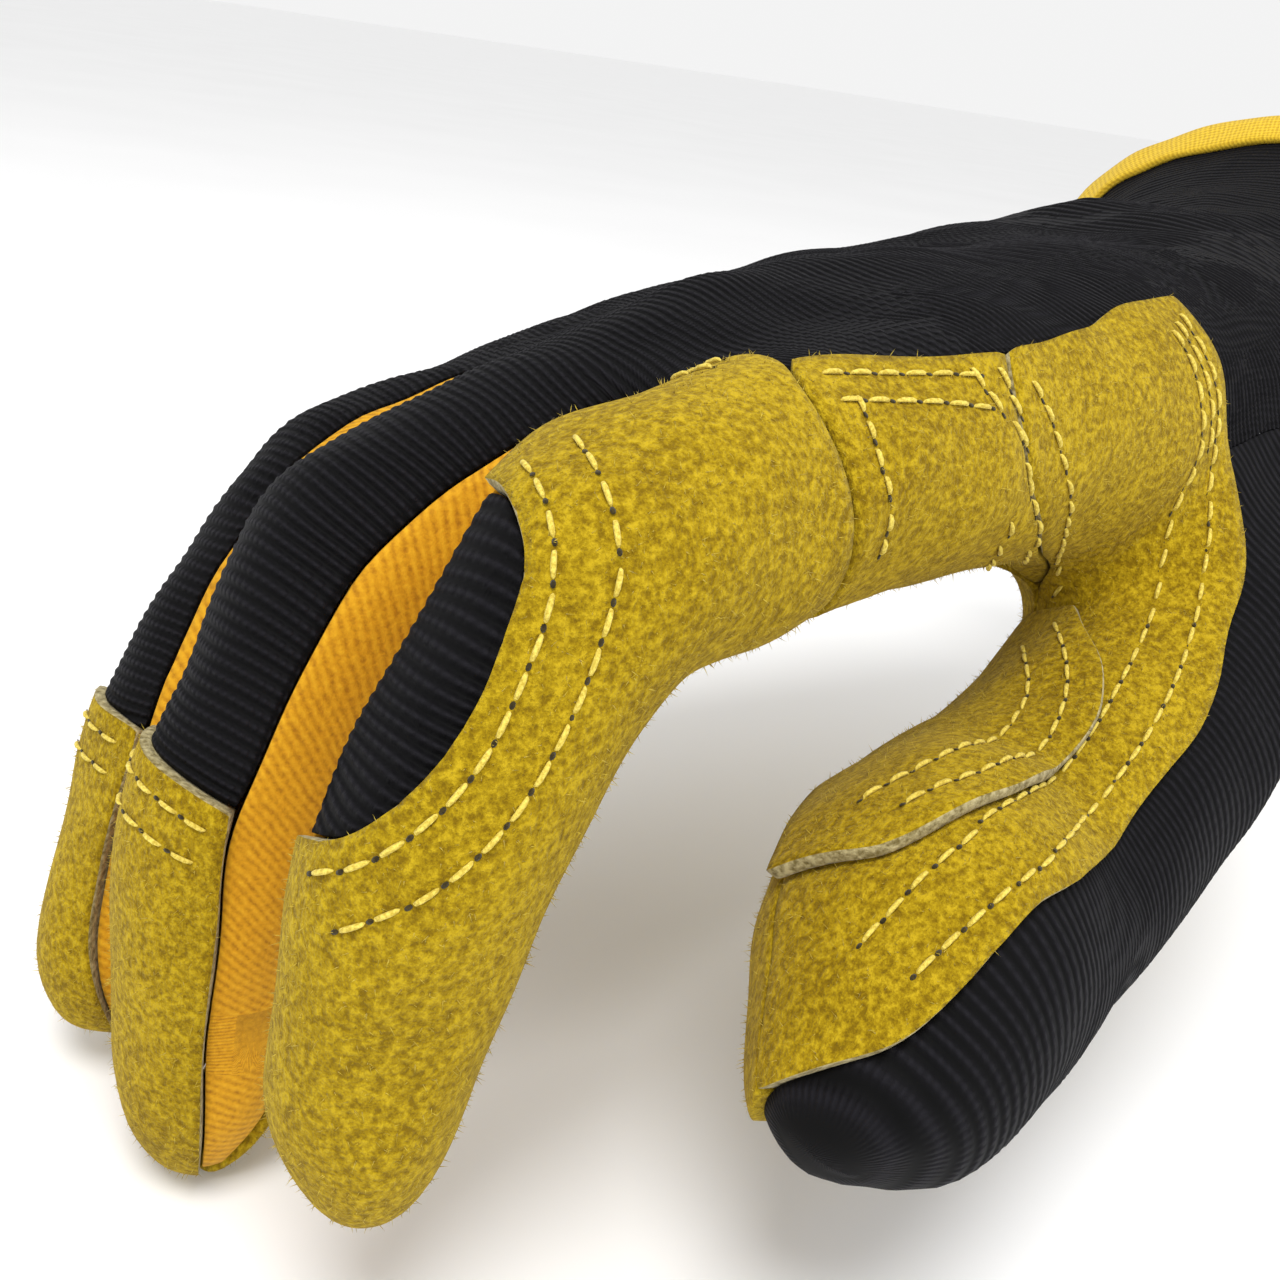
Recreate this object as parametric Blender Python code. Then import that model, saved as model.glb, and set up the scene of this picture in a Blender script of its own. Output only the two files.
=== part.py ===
# Right-hand rigger glove in a relaxed, slightly gripping pose, empty and open at the cuff.
# The inner face of every panel lies on one "hand form": round limbs that blend into a palm and a cuff.
# Panels are grids laid on that form between seam lines, then thickened outwards into closed walls.
# Axes: fingers along -X, thumb side -Y, back of the hand +Z, origin in the middle of the cuff's opening.

import bpy
import numpy as np
from math import cos, pi, radians, sin

MM = 0.001

# Driving sizes, in millimetres
PALM_LENGTH = 93.0
PALM_BREADTH = 84.0
INDEX_LENGTH = 97.0
MIDDLE_LENGTH = 107.0
RING_LENGTH = 100.0
LITTLE_LENGTH = 80.0
THUMB_LENGTH = 132.0
WRIST_BREADTH = 62.0
WRIST_HEIGHT = 37.0
CUFF_LENGTH = 38.0
CUFF_BREADTH = 98.0
CUFF_HEIGHT = 55.0
FABRIC_WALL = 1.2
LEATHER_WALL = 2.4
OVERLAY_WALL = 1.4
BINDING_WALL = 1.0
BINDING_WIDTH = 7.0
SEAM_GAP = 0.36
LAYER_GAP = 0.3
GATHER_DEPTH = 0.6

# Shape settings without a length of their own; shares are of the palm's length
CORNER_ROUNDS = 3
GATHERS = 22
GATHER_BAND = .10
WRIST_SEAM = .085
FINGER_ROOT = .043
WEB_FADE = .1613
WEB_SEARCH = (-.12, .28)

# Fingers: knuckle as shares of palm length, breadth and breadth; angles in degrees;
# bones as shares of the finger's length; radii and root as shares of the palm's breadth.
FINGERS = {
    "index": dict(length=INDEX_LENGTH, knuckle=(.968, .333, .018), splay=4.9, bends=(7.4, 50.1, 25.6),
                  bones=(.464, .278, .258), radii=(.190, .167, .129, .107, .0923, .0717), root=.179),
    "middle": dict(length=MIDDLE_LENGTH, knuckle=(1.0, .079, .021), splay=-2.8, bends=(18.0, 50.7, 16.7),
                   bones=(.458, .290, .252), radii=(.190, .167, .1435, .119, .1026, .0842), root=.048),
    "ring": dict(length=RING_LENGTH, knuckle=(.935, -.214, -.079), splay=.8, bends=(13.1, 44.2, 17.6),
                 bones=(.450, .290, .260), radii=(.190, .167, .1377, .1144, .0986, .0806), root=-.107),
    "little": dict(length=LITTLE_LENGTH, knuckle=(.849, -.431, -.138), splay=-4.1, bends=(20.2, 42.0, 24.0),
                   bones=(.450, .275, .275), radii=(.190, .161, .1315, .1093, .094, .0774), root=-.226),
}
# Thumb knots: along, across and up as shares of the thumb's length, radius as a share of the palm's breadth
THUMB = [
    (-.015, .091, -.061, .179),
    (.202, .242, -.113, .202),
    (.478, .336, -.252, .163),
    (.674, .343, -.336, .177),
    (.786, .388, -.302, .1845),
    (.883, .432, -.348, .106),
]
# Filling of the fork between thumb and palm: along as a share of the palm's length, the rest of its breadth
FORK_KNOTS = [
    (-.32, .300, -.095, .095),
    (-.58, .375, -.163, .083),
]
# Cuff rings: place from the wrist line (0) to the opening (1), then how far breadth, height,
# sideways and upward shift have gone from the wrist's to the opening's
CUFF_RINGS = [
    (-.30, .05, .05, 0, 0),
    (0, 0, 0, 0, .05),
    (.174, 0, .05, .12, .10),
    (.478, .17, .23, .38, .35),
    (.783, .58, .60, .75, .70),
    (1.0, 1.0, 1.0, 1.0, 1.0),
]
CUFF_SHIFT = (.041, .17)

# Share of each finger's length at which it parts from its neighbour
WEB = {"index": .59, "middle": .559, "ring": .563, "little": .598}
BLENDS = dict(palm=.167, web=.03, thumb=.143, crotch=.12, cuff=.095)
EVEN_REACH = .012
SHARPEST = .15


def smooth(low, high, x):
    t = np.clip((x - low)/(high - low), 0, 1)
    return t*t*(3 - 2*t)


def rounded(knots):
    """Cuts the corners of a line of knots, again and again."""
    path = [np.array(knot, float) for knot in knots]
    for _ in range(CORNER_ROUNDS):
        cut = [path[0]]
        for a, b in zip(path[:-1], path[1:]):
            cut.append(.75*a + .25*b)
            cut.append(.25*a + .75*b)
        cut.append(path[-1])
        path = cut
    return np.array(path)


class Limb:
    """A round tube along a rounded line, with a half ball at its tip.

    A place on it is s, the length along the line, and turn, the angle about it from its side
    direction (0) over the back of the hand (90). Past the line's end s runs on over the ball."""

    def __init__(self, knots, side):
        path = rounded(knots)
        self.centres = path[:, :3]
        self.radii = path[:, 3]
        self.steps = np.diff(self.centres, axis=0)
        self.lengths = np.linalg.norm(self.steps, axis=1)
        self.marks = np.concatenate([[0], np.cumsum(self.lengths)])
        self.length = self.marks[-1]
        self.tip = self.length + self.radii[-1]*pi/2
        self.side = np.array(side, float)

    def measure(self, points):
        """Distance of points from the tube's skin, the way out, and s."""
        rel = points[:, None] - self.centres[None, :-1]
        t = np.clip(np.einsum("mnk,nk->mn", rel, self.steps)/self.lengths**2, 0, 1)
        off = rel - t[..., None]*self.steps[None]
        far = np.linalg.norm(off, axis=2)
        gap = far - self.radii[:-1] - t*np.diff(self.radii)
        k = np.argmin(gap, axis=1)
        i = np.arange(len(points))
        away = off[i, k]/np.maximum(far[i, k], 1e-9)[:, None]
        return gap[i, k], away, self.marks[k] + t[i, k]*self.lengths[k]

    def along(self, s):
        return np.stack([np.interp(s, self.marks, self.centres[:, k]) for k in range(3)], -1)

    def frame(self, s, reach):
        low = np.clip(s - reach, 0, self.length - reach)
        high = np.clip(s + reach, reach, self.length)
        run = self.along(high) - self.along(low)
        run = run/np.linalg.norm(run, axis=-1, keepdims=True)
        side = self.side - run*(run@self.side)[..., None]
        side = side/np.linalg.norm(side, axis=-1, keepdims=True)
        return self.along(s), np.interp(s, self.marks, self.radii), run, side, np.cross(run, side)

    def point(self, s, turn, reach=.05):
        """Points at s and turn; reach is how far the rows' slant is evened out round a bend."""
        s, turn = np.broadcast_arrays(np.asarray(s, float), np.asarray(turn, float))
        centre, radius, run, side, up = self.frame(np.minimum(s, self.length), reach*self.length)
        dome = np.clip((s - self.length)/self.radii[-1], 0, pi/2)[..., None]
        angle = np.radians(turn)[..., None]
        out = np.cos(dome)*(np.cos(angle)*side + np.sin(angle)*up) + np.sin(dome)*run
        return centre + radius[..., None]*out


def finger_limb(row):
    along, across, up = row["knuckle"]
    base = np.array([-along*PALM_LENGTH, -across*PALM_BREADTH, up*PALM_BREADTH])
    splay = radians(row["splay"])
    ahead = np.array([-cos(splay), -sin(splay), 0])
    joints = [base]
    bend = 0
    for share, turn in zip(row["bones"], row["bends"]):
        bend += radians(turn)
        way = cos(bend)*ahead - sin(bend)*np.array([0, 0, 1.0])
        joints.append(joints[-1] + share*row["length"]*way)
    radii = [share*PALM_BREADTH for share in row["radii"]]
    root = np.array([-FINGER_ROOT*PALM_LENGTH, -row["root"]*PALM_BREADTH, 0])
    knots = [(root, radii[0]), (.3*root + .7*base, radii[1]), (base, radii[2])]
    for j in range(3):
        for t in ((.3, .7, 1.0) if j < 2 else (.4, 1.0)):
            centre = joints[j] + t*(joints[j + 1] - joints[j])
            knots.append((centre, radii[2 + j] + t*(radii[3 + j] - radii[2 + j])))
    return Limb([np.append(centre, radius) for centre, radius in knots], np.cross([0, 0, 1.0], ahead))


def thumb_limb():
    knots = [(-a*THUMB_LENGTH, -b*THUMB_LENGTH, c*THUMB_LENGTH, r*PALM_BREADTH) for a, b, c, r in THUMB]
    return Limb(knots, (0, -1, 0))


def fork_limb():
    knots = [(a*PALM_LENGTH, -b*PALM_BREADTH, c*PALM_BREADTH, r*PALM_BREADTH) for a, b, c, r in FORK_KNOTS]
    return Limb(knots, (0, -1, 0))


NAMES = list(FINGERS)
LIMBS = {name: finger_limb(row) for name, row in FINGERS.items()}
LIMBS["thumb"] = thumb_limb()
THUMB_WEB = fork_limb()
SEAM_X = WRIST_SEAM*PALM_LENGTH
OPENING_X = SEAM_X + CUFF_LENGTH
RIM_X = OPENING_X - BINDING_WALL
OPENING = np.array([OPENING_X, CUFF_SHIFT[0]*CUFF_BREADTH, CUFF_SHIFT[1]*CUFF_HEIGHT])


def cuff_ring(x):
    """Half breadth, half height and middle of the cuff at x."""
    place = x/OPENING_X
    table = np.array(CUFF_RINGS)
    grown = [np.interp(place, table[:, 0], table[:, k]) for k in range(1, 5)]
    wide = .5*(WRIST_BREADTH + (CUFF_BREADTH - WRIST_BREADTH)*grown[0])
    high = .5*(WRIST_HEIGHT + (CUFF_HEIGHT - WRIST_HEIGHT)*grown[1])
    return wide, high, OPENING[1]*grown[2], OPENING[2]*grown[3]


def cuff_measure(points):
    x = points[:, 0]
    wide, high, middle_y, middle_z = cuff_ring(x)
    y = points[:, 1] - middle_y
    z = points[:, 2] - middle_z
    size = np.sqrt((y/wide)**2 + (z/high)**2) + 1e-9
    slope = np.stack([0*x, y/wide**2/size, z/high**2/size], -1)
    steep = np.linalg.norm(slope, axis=1)
    gap = (size - 1)/steep
    # gathers of the elastic band round the wrist
    turn = np.arctan2(z/high, y/wide)
    band = np.exp(-((x - SEAM_X)/(GATHER_BAND*PALM_LENGTH))**2)
    gap = gap + GATHER_DEPTH*band*np.cos(GATHERS*turn + 1.5*np.sin(3*turn))
    past = np.maximum(CUFF_RINGS[0][0]*OPENING_X - x, 0)
    gap = np.where(past > 0, np.sqrt(np.maximum(gap, 0)**2 + past**2), gap)
    return gap, slope/steep[:, None]


def blend(a, way_a, b, way_b, k):
    """The lower of two distances, rounded where they meet over the width k."""
    h = np.clip(.5 + .5*(b - a)/k, 0, 1)
    return b + (a - b)*h - k*h*(1 - h), way_a*h[:, None] + way_b*(1 - h)[:, None]


def web_softness(first, second, s_first, s_second):
    """How widely two neighbouring fingers blend: broadly in the palm, hardly at all past the web."""
    web = .5*(WEB[first]*LIMBS[first].length + WEB[second]*LIMBS[second].length)
    span = WEB_FADE*PALM_LENGTH
    fade = smooth(web - .2*span, web + .8*span, .5*(s_first + s_second))
    return PALM_BREADTH*(BLENDS["web"] + (BLENDS["palm"] - BLENDS["web"])*(1 - fade))


def form(points):
    """Distance from the hand form, unit way out, and how steep the distance is."""
    found = [LIMBS[name].measure(points) for name in NAMES]
    gap, way, _ = found[0]
    for i in range(1, 4):
        width = web_softness(NAMES[i - 1], NAMES[i], found[i - 1][2], found[i][2])
        gap, way = blend(gap, way, found[i][0], found[i][1], width)
    thumb_gap, thumb_way, _ = LIMBS["thumb"].measure(points)
    gap, way = blend(gap, way, thumb_gap, thumb_way, BLENDS["thumb"]*PALM_BREADTH)
    fork_gap, fork_way, _ = THUMB_WEB.measure(points)
    gap, way = blend(gap, way, fork_gap, fork_way, BLENDS["crotch"]*PALM_BREADTH)
    cuff_gap, cuff_way = cuff_measure(points)
    gap, way = blend(gap, way, cuff_gap, cuff_way, BLENDS["cuff"]*PALM_BREADTH)
    steep = np.linalg.norm(way, axis=1)
    return gap, way/np.maximum(steep, 1e-9)[:, None], steep


def lay(points):
    """Moves points straight onto the hand form, whatever the shape of their array."""
    flat = np.array(points, float).reshape(-1, 3)
    for _ in range(10):
        gap, way, steep = form(flat)
        flat = flat - (gap/np.maximum(steep, .4))[:, None]*way
    return flat.reshape(np.shape(points))


def mark(limb, share, turn):
    """A place on a limb: share of its length and turn."""
    body = LIMBS[limb]
    return body.point(share*body.length, turn, .022)


def wrist(turn, x=SEAM_X):
    """A point of the cuff's ring at x, turn degrees from the thumb side over the back."""
    wide, high, y, z = cuff_ring(x)
    angle = radians(turn)
    return np.array([x, y - wide*cos(angle), z + high*sin(angle)])


def even(path, count):
    steps = np.linalg.norm(np.diff(path, axis=0), axis=1)
    run = np.concatenate([[0], np.cumsum(steps)])
    spots = np.linspace(0, run[-1], count + 1)
    return np.stack([np.interp(spots, run, path[:, k]) for k in range(3)], -1)


def line(points, count):
    """A smooth line on the form through the points, in count even steps; its ends stay put."""
    knots = np.array(points)
    knots[1:-1] = lay(knots[1:-1])
    padded = np.vstack([2*knots[0] - knots[1], knots, 2*knots[-1] - knots[-2]])
    path = []
    for a, b, c, d in zip(padded[:-3], padded[1:-2], padded[2:-1], padded[3:]):
        for t in np.arange(12)/12:
            path.append(.5*(2*b + (c - a)*t + (2*a - 5*b + 4*c - d)*t*t + (3*b - a - 3*c + d)*t**3))
    path.append(knots[-1])
    path = np.array(path)
    path[1:-1] = lay(path[1:-1])
    path = even(path, count)
    path[1:-1] = lay(path[1:-1])
    return path


def join(*lines):
    """Lines end to end, their meeting points kept once."""
    return np.vstack([lines[0]] + [part[1:] for part in lines[1:]])


def fill(first, last, left, right):
    """A grid between four lines: rows run from first to last, columns from left to right."""
    rows = len(left)
    cols = len(first)
    v = np.linspace(0, 1, rows)[:, None, None]
    u = np.linspace(0, 1, cols)[None, :, None]
    grid = (1 - v)*first[None] + v*last[None] + (1 - u)*left[:, None] + u*right[:, None]
    grid = grid - (1 - v)*(1 - u)*first[0] - (1 - v)*u*first[-1] - v*(1 - u)*last[0] - v*u*last[-1]
    grid[1:-1, 1:-1] = lay(grid[1:-1, 1:-1])
    grid[0] = first
    grid[-1] = last
    grid[:, 0] = left
    grid[:, -1] = right
    return grid


def relax(grid, rounds):
    """Evens out a grid's inner points on the form."""
    for _ in range(rounds):
        mean = .25*(grid[:-2, 1:-1] + grid[2:, 1:-1] + grid[1:-1, :-2] + grid[1:-1, 2:])
        grid[1:-1, 1:-1] = lay(mean)
    return grid


def ruled(left, right, cols):
    """A grid straight across between two lines, laid on the form."""
    u = np.linspace(0, 1, cols + 1)[None, :, None]
    grid = (1 - u)*left[:, None] + u*right[:, None]
    grid[:, 1:-1] = lay(grid[:, 1:-1])
    return grid


# Steps along and across the panels
STEPS = dict(web=4, back=4, base=5, top=6, wrist=7, palm_seam=3, mitt=6, thumb=12, thumb_tip=4,
             finger=8, cap=6, pole=2, cuff=3, ulnar=3, corner=3, thumb_round=8)
RELAX_ROUNDS = 12
FOURCHETTE_END = 50
FOURCHETTE_TIP_TURN = 12

# Seams along the fingers: share of the finger's length and turn.
# "thumbward" is the back panel's edge on the thumb side, "outer" the one on the other side.
EDGE_TURNS = {
    ("index", "outer"): [(.60, 136), (.66, 128), (.73, 124), (.87, 126), (.93, 132), (1.0, 137)],
    ("middle", "thumbward"): [(.56, 52), (.64, 46), (.70, 37), (.74, 33), (.81, 39), (.88, 28), (1.0, 24)],
    ("middle", "outer"): [(.56, 140), (.64, 138), (1.0, 140)],
    ("ring", "thumbward"): [(.56, 78), (.64, 79), (.70, 72), (.78, 68), (.83, 62), (.92, 54), (1.0, 48)],
    ("ring", "outer"): [(.53, 140), (.64, 138), (1.0, 140)],
    ("little", "thumbward"): [(.58, 45), (.70, 50), (1.0, 45)],
    ("little", "outer"): [(.58, 200), (1.0, 195)],
}
PALM_TURNS = {"thumbward": -45, "outer": -135}
CAP_SHARE = {"middle": .82, "ring": .852, "little": .86}
WINDOW = dict(frame=(.688, .906), ends=(.731, .870), side_turn=42)
# Edge of the index finger's window, from the middle finger's side round and back
WINDOW_EDGE = [(.731, 112), (.731, 97), (.735, 80), (.742, 68), (.752, 62), (.767, 59), (.784, 57), (.802, 58),
               (.824, 61), (.843, 69), (.857, 83), (.866, 103)]

WRIST_TURNS = dict(corner=52, thumb_back=6, thumb_front=-42, mitt=-62, palm_index=-80, palm_middle=-98,
                   palm_ring=-116, ulnar=-165, back_little=150, back_ring=118, back_middle=98, back_index=78)


def web_ends():
    """The back and palm ends of the three webs between the fingers."""
    backs = [
        .5*(mark("index", .600, 138) + mark("middle", .556, 50)),
        .5*(mark("middle", .550, 145) + mark("ring", .556, 72)),
        .5*(mark("ring", .530, 135) + mark("little", .585, 50)),
    ]
    palms = [
        .5*(mark("index", .595, -135) + mark("middle", .562, -45)),
        .5*(mark("middle", .565, -135) + mark("ring", .570, -45)),
        .5*(mark("ring", .555, -135) + mark("little", .60, -45)),
    ]
    return lay(np.array(backs)), lay(np.array(palms))


def web_line(first, second, back, palm):
    """The crotch between two fingers, from its back end to its palm end."""
    a = LIMBS[first]
    b = LIMBS[second]
    base_a = WEB[first]*a.length
    base_b = WEB[second]*b.length
    reach = np.linspace(*WEB_SEARCH, 81)*PALM_LENGTH
    middle = .5*(a.along(base_a + reach) + b.along(base_b + reach))
    up = np.cross(middle[-1] - middle[0], b.along(base_b) - a.along(base_a))
    up = up/np.linalg.norm(up)
    if up[2] < 0:
        up = -up
    seat = middle[np.argmin(np.linalg.norm(middle - back, axis=1))]
    rise_back = (back - seat)@up
    seat = middle[np.argmin(np.linalg.norm(middle - palm, axis=1))]
    rise_palm = (palm - seat)@up
    points = [back]
    for k in range(1, STEPS["web"]):
        t = k/STEPS["web"]
        path = middle + (rise_back*(1 - t) + rise_palm*t)*up
        gap = form(path)[0]
        inside = np.where(gap < 0)[0]
        k_in = min(inside[-1] if len(inside) else 0, len(path) - 2)
        g0, g1 = gap[k_in], gap[k_in + 1]
        w = np.clip(g0/(g0 - g1), 0, 1) if g0 != g1 else 0
        points.append(path[k_in] + w*(path[k_in + 1] - path[k_in]))
    points.append(palm)
    return np.array(points)


BACK_WEBS, PALM_WEBS = web_ends()
WEB_LINES = [web_line(NAMES[k], NAMES[k + 1], BACK_WEBS[k], PALM_WEBS[k]) for k in range(3)]


def finger_spots(name, start):
    """s of a finger's rows from its start at the web to the fourchettes' end."""
    body = LIMBS[name]
    end = body.length + radians(FOURCHETTE_END)*body.radii[-1]
    if name == "index":
        stops = [(WINDOW["frame"][0], 3), (WINDOW["ends"][0], 2), (WINDOW["ends"][1], 4), (WINDOW["frame"][1], 2)]
        last = 4
    else:
        stops = [(CAP_SHARE[name], STEPS["finger"])]
        last = STEPS["cap"]
    spots = [start]
    for share, steps in stops:
        spots += list(np.linspace(spots[-1], share*body.length, steps + 1)[1:])
    spots += list(np.linspace(spots[-1], end, last + 1)[1:])
    return np.array(spots)


def pole_spots(name):
    body = LIMBS[name]
    end = body.length + radians(FOURCHETTE_END)*body.radii[-1]
    return np.linspace(end, body.tip, STEPS["pole"] + 1)[1:]


def edge_turns(name, side, part, spots):
    """Turn of a finger's seam at the spots: it closes to the thumb side or outer line at the tip."""
    body = LIMBS[name]
    single = (name, side) == ("little", "outer")
    if part == "back" or single:
        table = EDGE_TURNS[name, side]
        turns = np.interp(spots/body.length, [row[0] for row in table], [row[1] for row in table])
        close = FOURCHETTE_TIP_TURN if side == "thumbward" else 180 - FOURCHETTE_TIP_TURN
    else:
        turns = np.full(len(spots), PALM_TURNS[side] + (360 if side == "outer" else 0), float)
        close = -FOURCHETTE_TIP_TURN if side == "thumbward" else 180 + FOURCHETTE_TIP_TURN
    if single:
        close = 180
    end = body.length + radians(FOURCHETTE_END)*body.radii[-1]
    t = smooth(body.length - .02*body.length, end, spots)
    return turns*(1 - t) + close*t


class Edge:
    """A seam along a finger: its rows' s, turn and points, the web's row first."""

    def __init__(self, name, side, part):
        body = LIMBS[name]
        if (name, side) == ("little", "outer"):
            start = lay(mark(name, WEB[name], 200))
        else:
            webs = BACK_WEBS if part == "back" else PALM_WEBS
            start = webs[NAMES.index(name) - (1 if side == "thumbward" else 0)]
        self.s = finger_spots(name, body.measure(start[None])[2][0])
        self.turn = edge_turns(name, side, part, self.s)
        flat = 0 if side == "thumbward" else 180
        self.s = np.concatenate([self.s, pole_spots(name)])
        self.turn = np.concatenate([self.turn, np.full(STEPS["pole"], flat)])
        self.points = lay(body.point(self.s, self.turn))
        self.points[0] = start


EDGES = {}
for finger in NAMES:
    for part in ("back", "palm"):
        EDGES[finger, "outer", part] = Edge(finger, "outer", part)
        if finger != "index":
            EDGES[finger, "thumbward", part] = Edge(finger, "thumbward", part)


def strip(name, left, right, cols, rows, wrap=0):
    """A grid along a finger between two of its seams; wrap is added to the right seam's turn."""
    u = np.linspace(0, 1, cols + 1)[None, :]
    low, high = rows
    pick = slice(low, high + 1)
    s = (1 - u)*left.s[pick, None] + u*right.s[pick, None]
    turn = (1 - u)*left.turn[pick, None] + u*(right.turn[pick, None] + wrap)
    grid = LIMBS[name].point(s, turn)
    grid[:, 1:-1] = lay(grid[:, 1:-1])
    grid[:, 0] = left.points[pick]
    grid[:, -1] = right.points[pick]
    return grid


def wrist_arc(first, last, cols, x=SEAM_X):
    return lay(np.array([wrist(turn, x) for turn in np.linspace(first, last, cols + 1)]))


# Seams between the panels of the hand, as smooth lines through marks on the limbs
TOP_A = line([BACK_WEBS[0], mark("index", .603, 112), lay(mark("index", .603, 88))], STEPS["corner"])
GROOVE_AB = line([TOP_A[-1], mark("index", .618, 69), mark("index", .619, 30), mark("index", .618, -8),
                  lay(mark("index", .612, -50))], 6)
TOP_B = line([TOP_A[-1], mark("index", .567, 82), mark("index", .544, 72), lay(mark("index", .486, 54))], 5)
CROTCH = lay(.5*(mark("index", .345, -78) + mark("thumb", .50, 137)))
SEAM_BC = line([TOP_B[-1], mark("index", .493, 35), mark("index", .492, 14), mark("index", .479, -8),
                mark("index", .41, -50), CROTCH], STEPS["mitt"])
CORNER = lay(mark("index", .290, 66))
TOP_C = line([TOP_B[-1], mark("index", .413, 60), mark("index", .344, 66), CORNER], STEPS["top"])
FORK = lay(mark("index", .270, -2))
SIDE_C = line([CORNER, mark("index", .277, 40), mark("index", .279, 20), FORK],
              STEPS["mitt"] + STEPS["palm_seam"])
THUMB_C = line([FORK, mark("thumb", .435, 69), mark("thumb", .491, 61), mark("thumb", .548, 54),
                mark("thumb", .624, 48), mark("thumb", .676, 48), mark("thumb", .77, 49), mark("thumb", .863, 52),
                mark("thumb", .919, 51), lay(mark("thumb", .99, 66))], STEPS["thumb"])
THUMB_TOP = lay(mark("thumb", 1.044, 143))
TIP_C = line([THUMB_C[-1], mark("thumb", 1.013, 77), mark("thumb", 1.038, 108), THUMB_TOP], STEPS["thumb_tip"])
FRONT_FORK = lay(mark("thumb", .56, 162))
PALM_C = line([CROTCH, lay(.5*(CROTCH + FRONT_FORK)), FRONT_FORK], STEPS["palm_seam"])
THUMB_E = line([FRONT_FORK, mark("thumb", .68, 152), mark("thumb", .80, 148), mark("thumb", .895, 143),
                lay(mark("thumb", .93, 136))], STEPS["thumb"] - 2)
NECK_E = line([THUMB_E[-1], mark("thumb", .965, 134), lay(mark("thumb", 1.0, 137))], 2)
TIP_E = line([NECK_E[-1], mark("thumb", 1.025, 141), THUMB_TOP], STEPS["thumb_tip"])
HEEL_FORK = lay(mark("thumb", .45, -125))
BASE_E = line([FRONT_FORK, mark("thumb", .50, -168), HEEL_FORK], STEPS["web"])
THUMB_F = line([HEEL_FORK, mark("thumb", .62, -128), mark("thumb", .80, -130), lay(mark("thumb", 1.0, -135))],
               STEPS["thumb"])
TIP_F = line([THUMB_F[-1], mark("thumb", 1.03, -160), mark("thumb", 1.045, -185), THUMB_TOP],
             STEPS["thumb_tip"])
# The pad's free edge, with a lead to the panel's upper edge and one to its tip
PAD_EDGE = line([lay(.5*(mark("index", .325, -50) + mark("thumb", .495, 118))), mark("thumb", .532, 113),
                 mark("thumb", .568, 100), mark("thumb", .60, 90), mark("thumb", .631, 83),
                 mark("thumb", .679, 75), mark("thumb", .76, 75),
                 mark("thumb", .845, 80), mark("thumb", .878, 82), mark("thumb", .904, 88),
                 lay(mark("thumb", .925, 101))],
                STEPS["palm_seam"] + STEPS["thumb"] - 2)
PAD_LINE = join(line([TOP_C[STEPS["top"]//2], mark("index", .37, 20), mark("index", .345, -22), PAD_EDGE[0]],
                     STEPS["mitt"]),
                PAD_EDGE,
                line([PAD_EDGE[-1], mark("thumb", 1.0, 112), THUMB_TOP], STEPS["thumb_tip"] + 2))
PALM_B = line([GROOVE_AB[-1], mark("index", .55, -66), mark("index", .45, -92), CROTCH], STEPS["base"])
PALM_A = line([GROOVE_AB[-1], mark("index", .612, -78), mark("index", .61, -108), PALM_WEBS[0]], 4)


def to_wrist(start, guide, turn, count):
    return line([start, guide, lay(wrist(WRIST_TURNS[turn])[None])[0]], count)


BACK_ROWS = STEPS["base"] + STEPS["top"] + STEPS["wrist"]
PALM_ROWS = STEPS["base"] + STEPS["palm_seam"] + STEPS["wrist"]
CORNER_LINE = to_wrist(CORNER, mark("index", .14, 62), "corner", STEPS["wrist"])
FORK_LINE = to_wrist(FORK, .5*(mark("index", .12, -2) + mark("thumb", .22, 75)), "thumb_back", STEPS["wrist"])
HEEL_LINE = to_wrist(HEEL_FORK, mark("thumb", .25, -105), "thumb_front", STEPS["wrist"])
MITT_LINE = to_wrist(FRONT_FORK, mark("thumb", .30, -150), "mitt", STEPS["wrist"])


def valley(first, second, side, start, turn, count):
    angle = 45 if side == "back" else -45
    outer = 180 - angle
    guides = [lay(.5*(mark(first, share, outer) + mark(second, share, angle))) for share in (.42, .2)]
    return line([start, *guides, lay(wrist(WRIST_TURNS[turn])[None])[0]], count)


BACK_VALLEYS = [valley(NAMES[k], NAMES[k + 1], "back", BACK_WEBS[k], turn, BACK_ROWS)
                for k, turn in enumerate(("back_index", "back_middle", "back_ring"))]
PALM_VALLEYS = [valley(NAMES[k], NAMES[k + 1], "palm", PALM_WEBS[k], turn, PALM_ROWS)
                for k, turn in enumerate(("palm_index", "palm_middle", "palm_ring"))]


def ulnar_line(count):
    start = EDGES["little", "outer", "back"].points[0]
    guides = [mark("little", .38, 200), mark("little", .18, 205)]
    return line([start, *guides, lay(wrist(WRIST_TURNS["ulnar"])[None])[0]], count)


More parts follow.
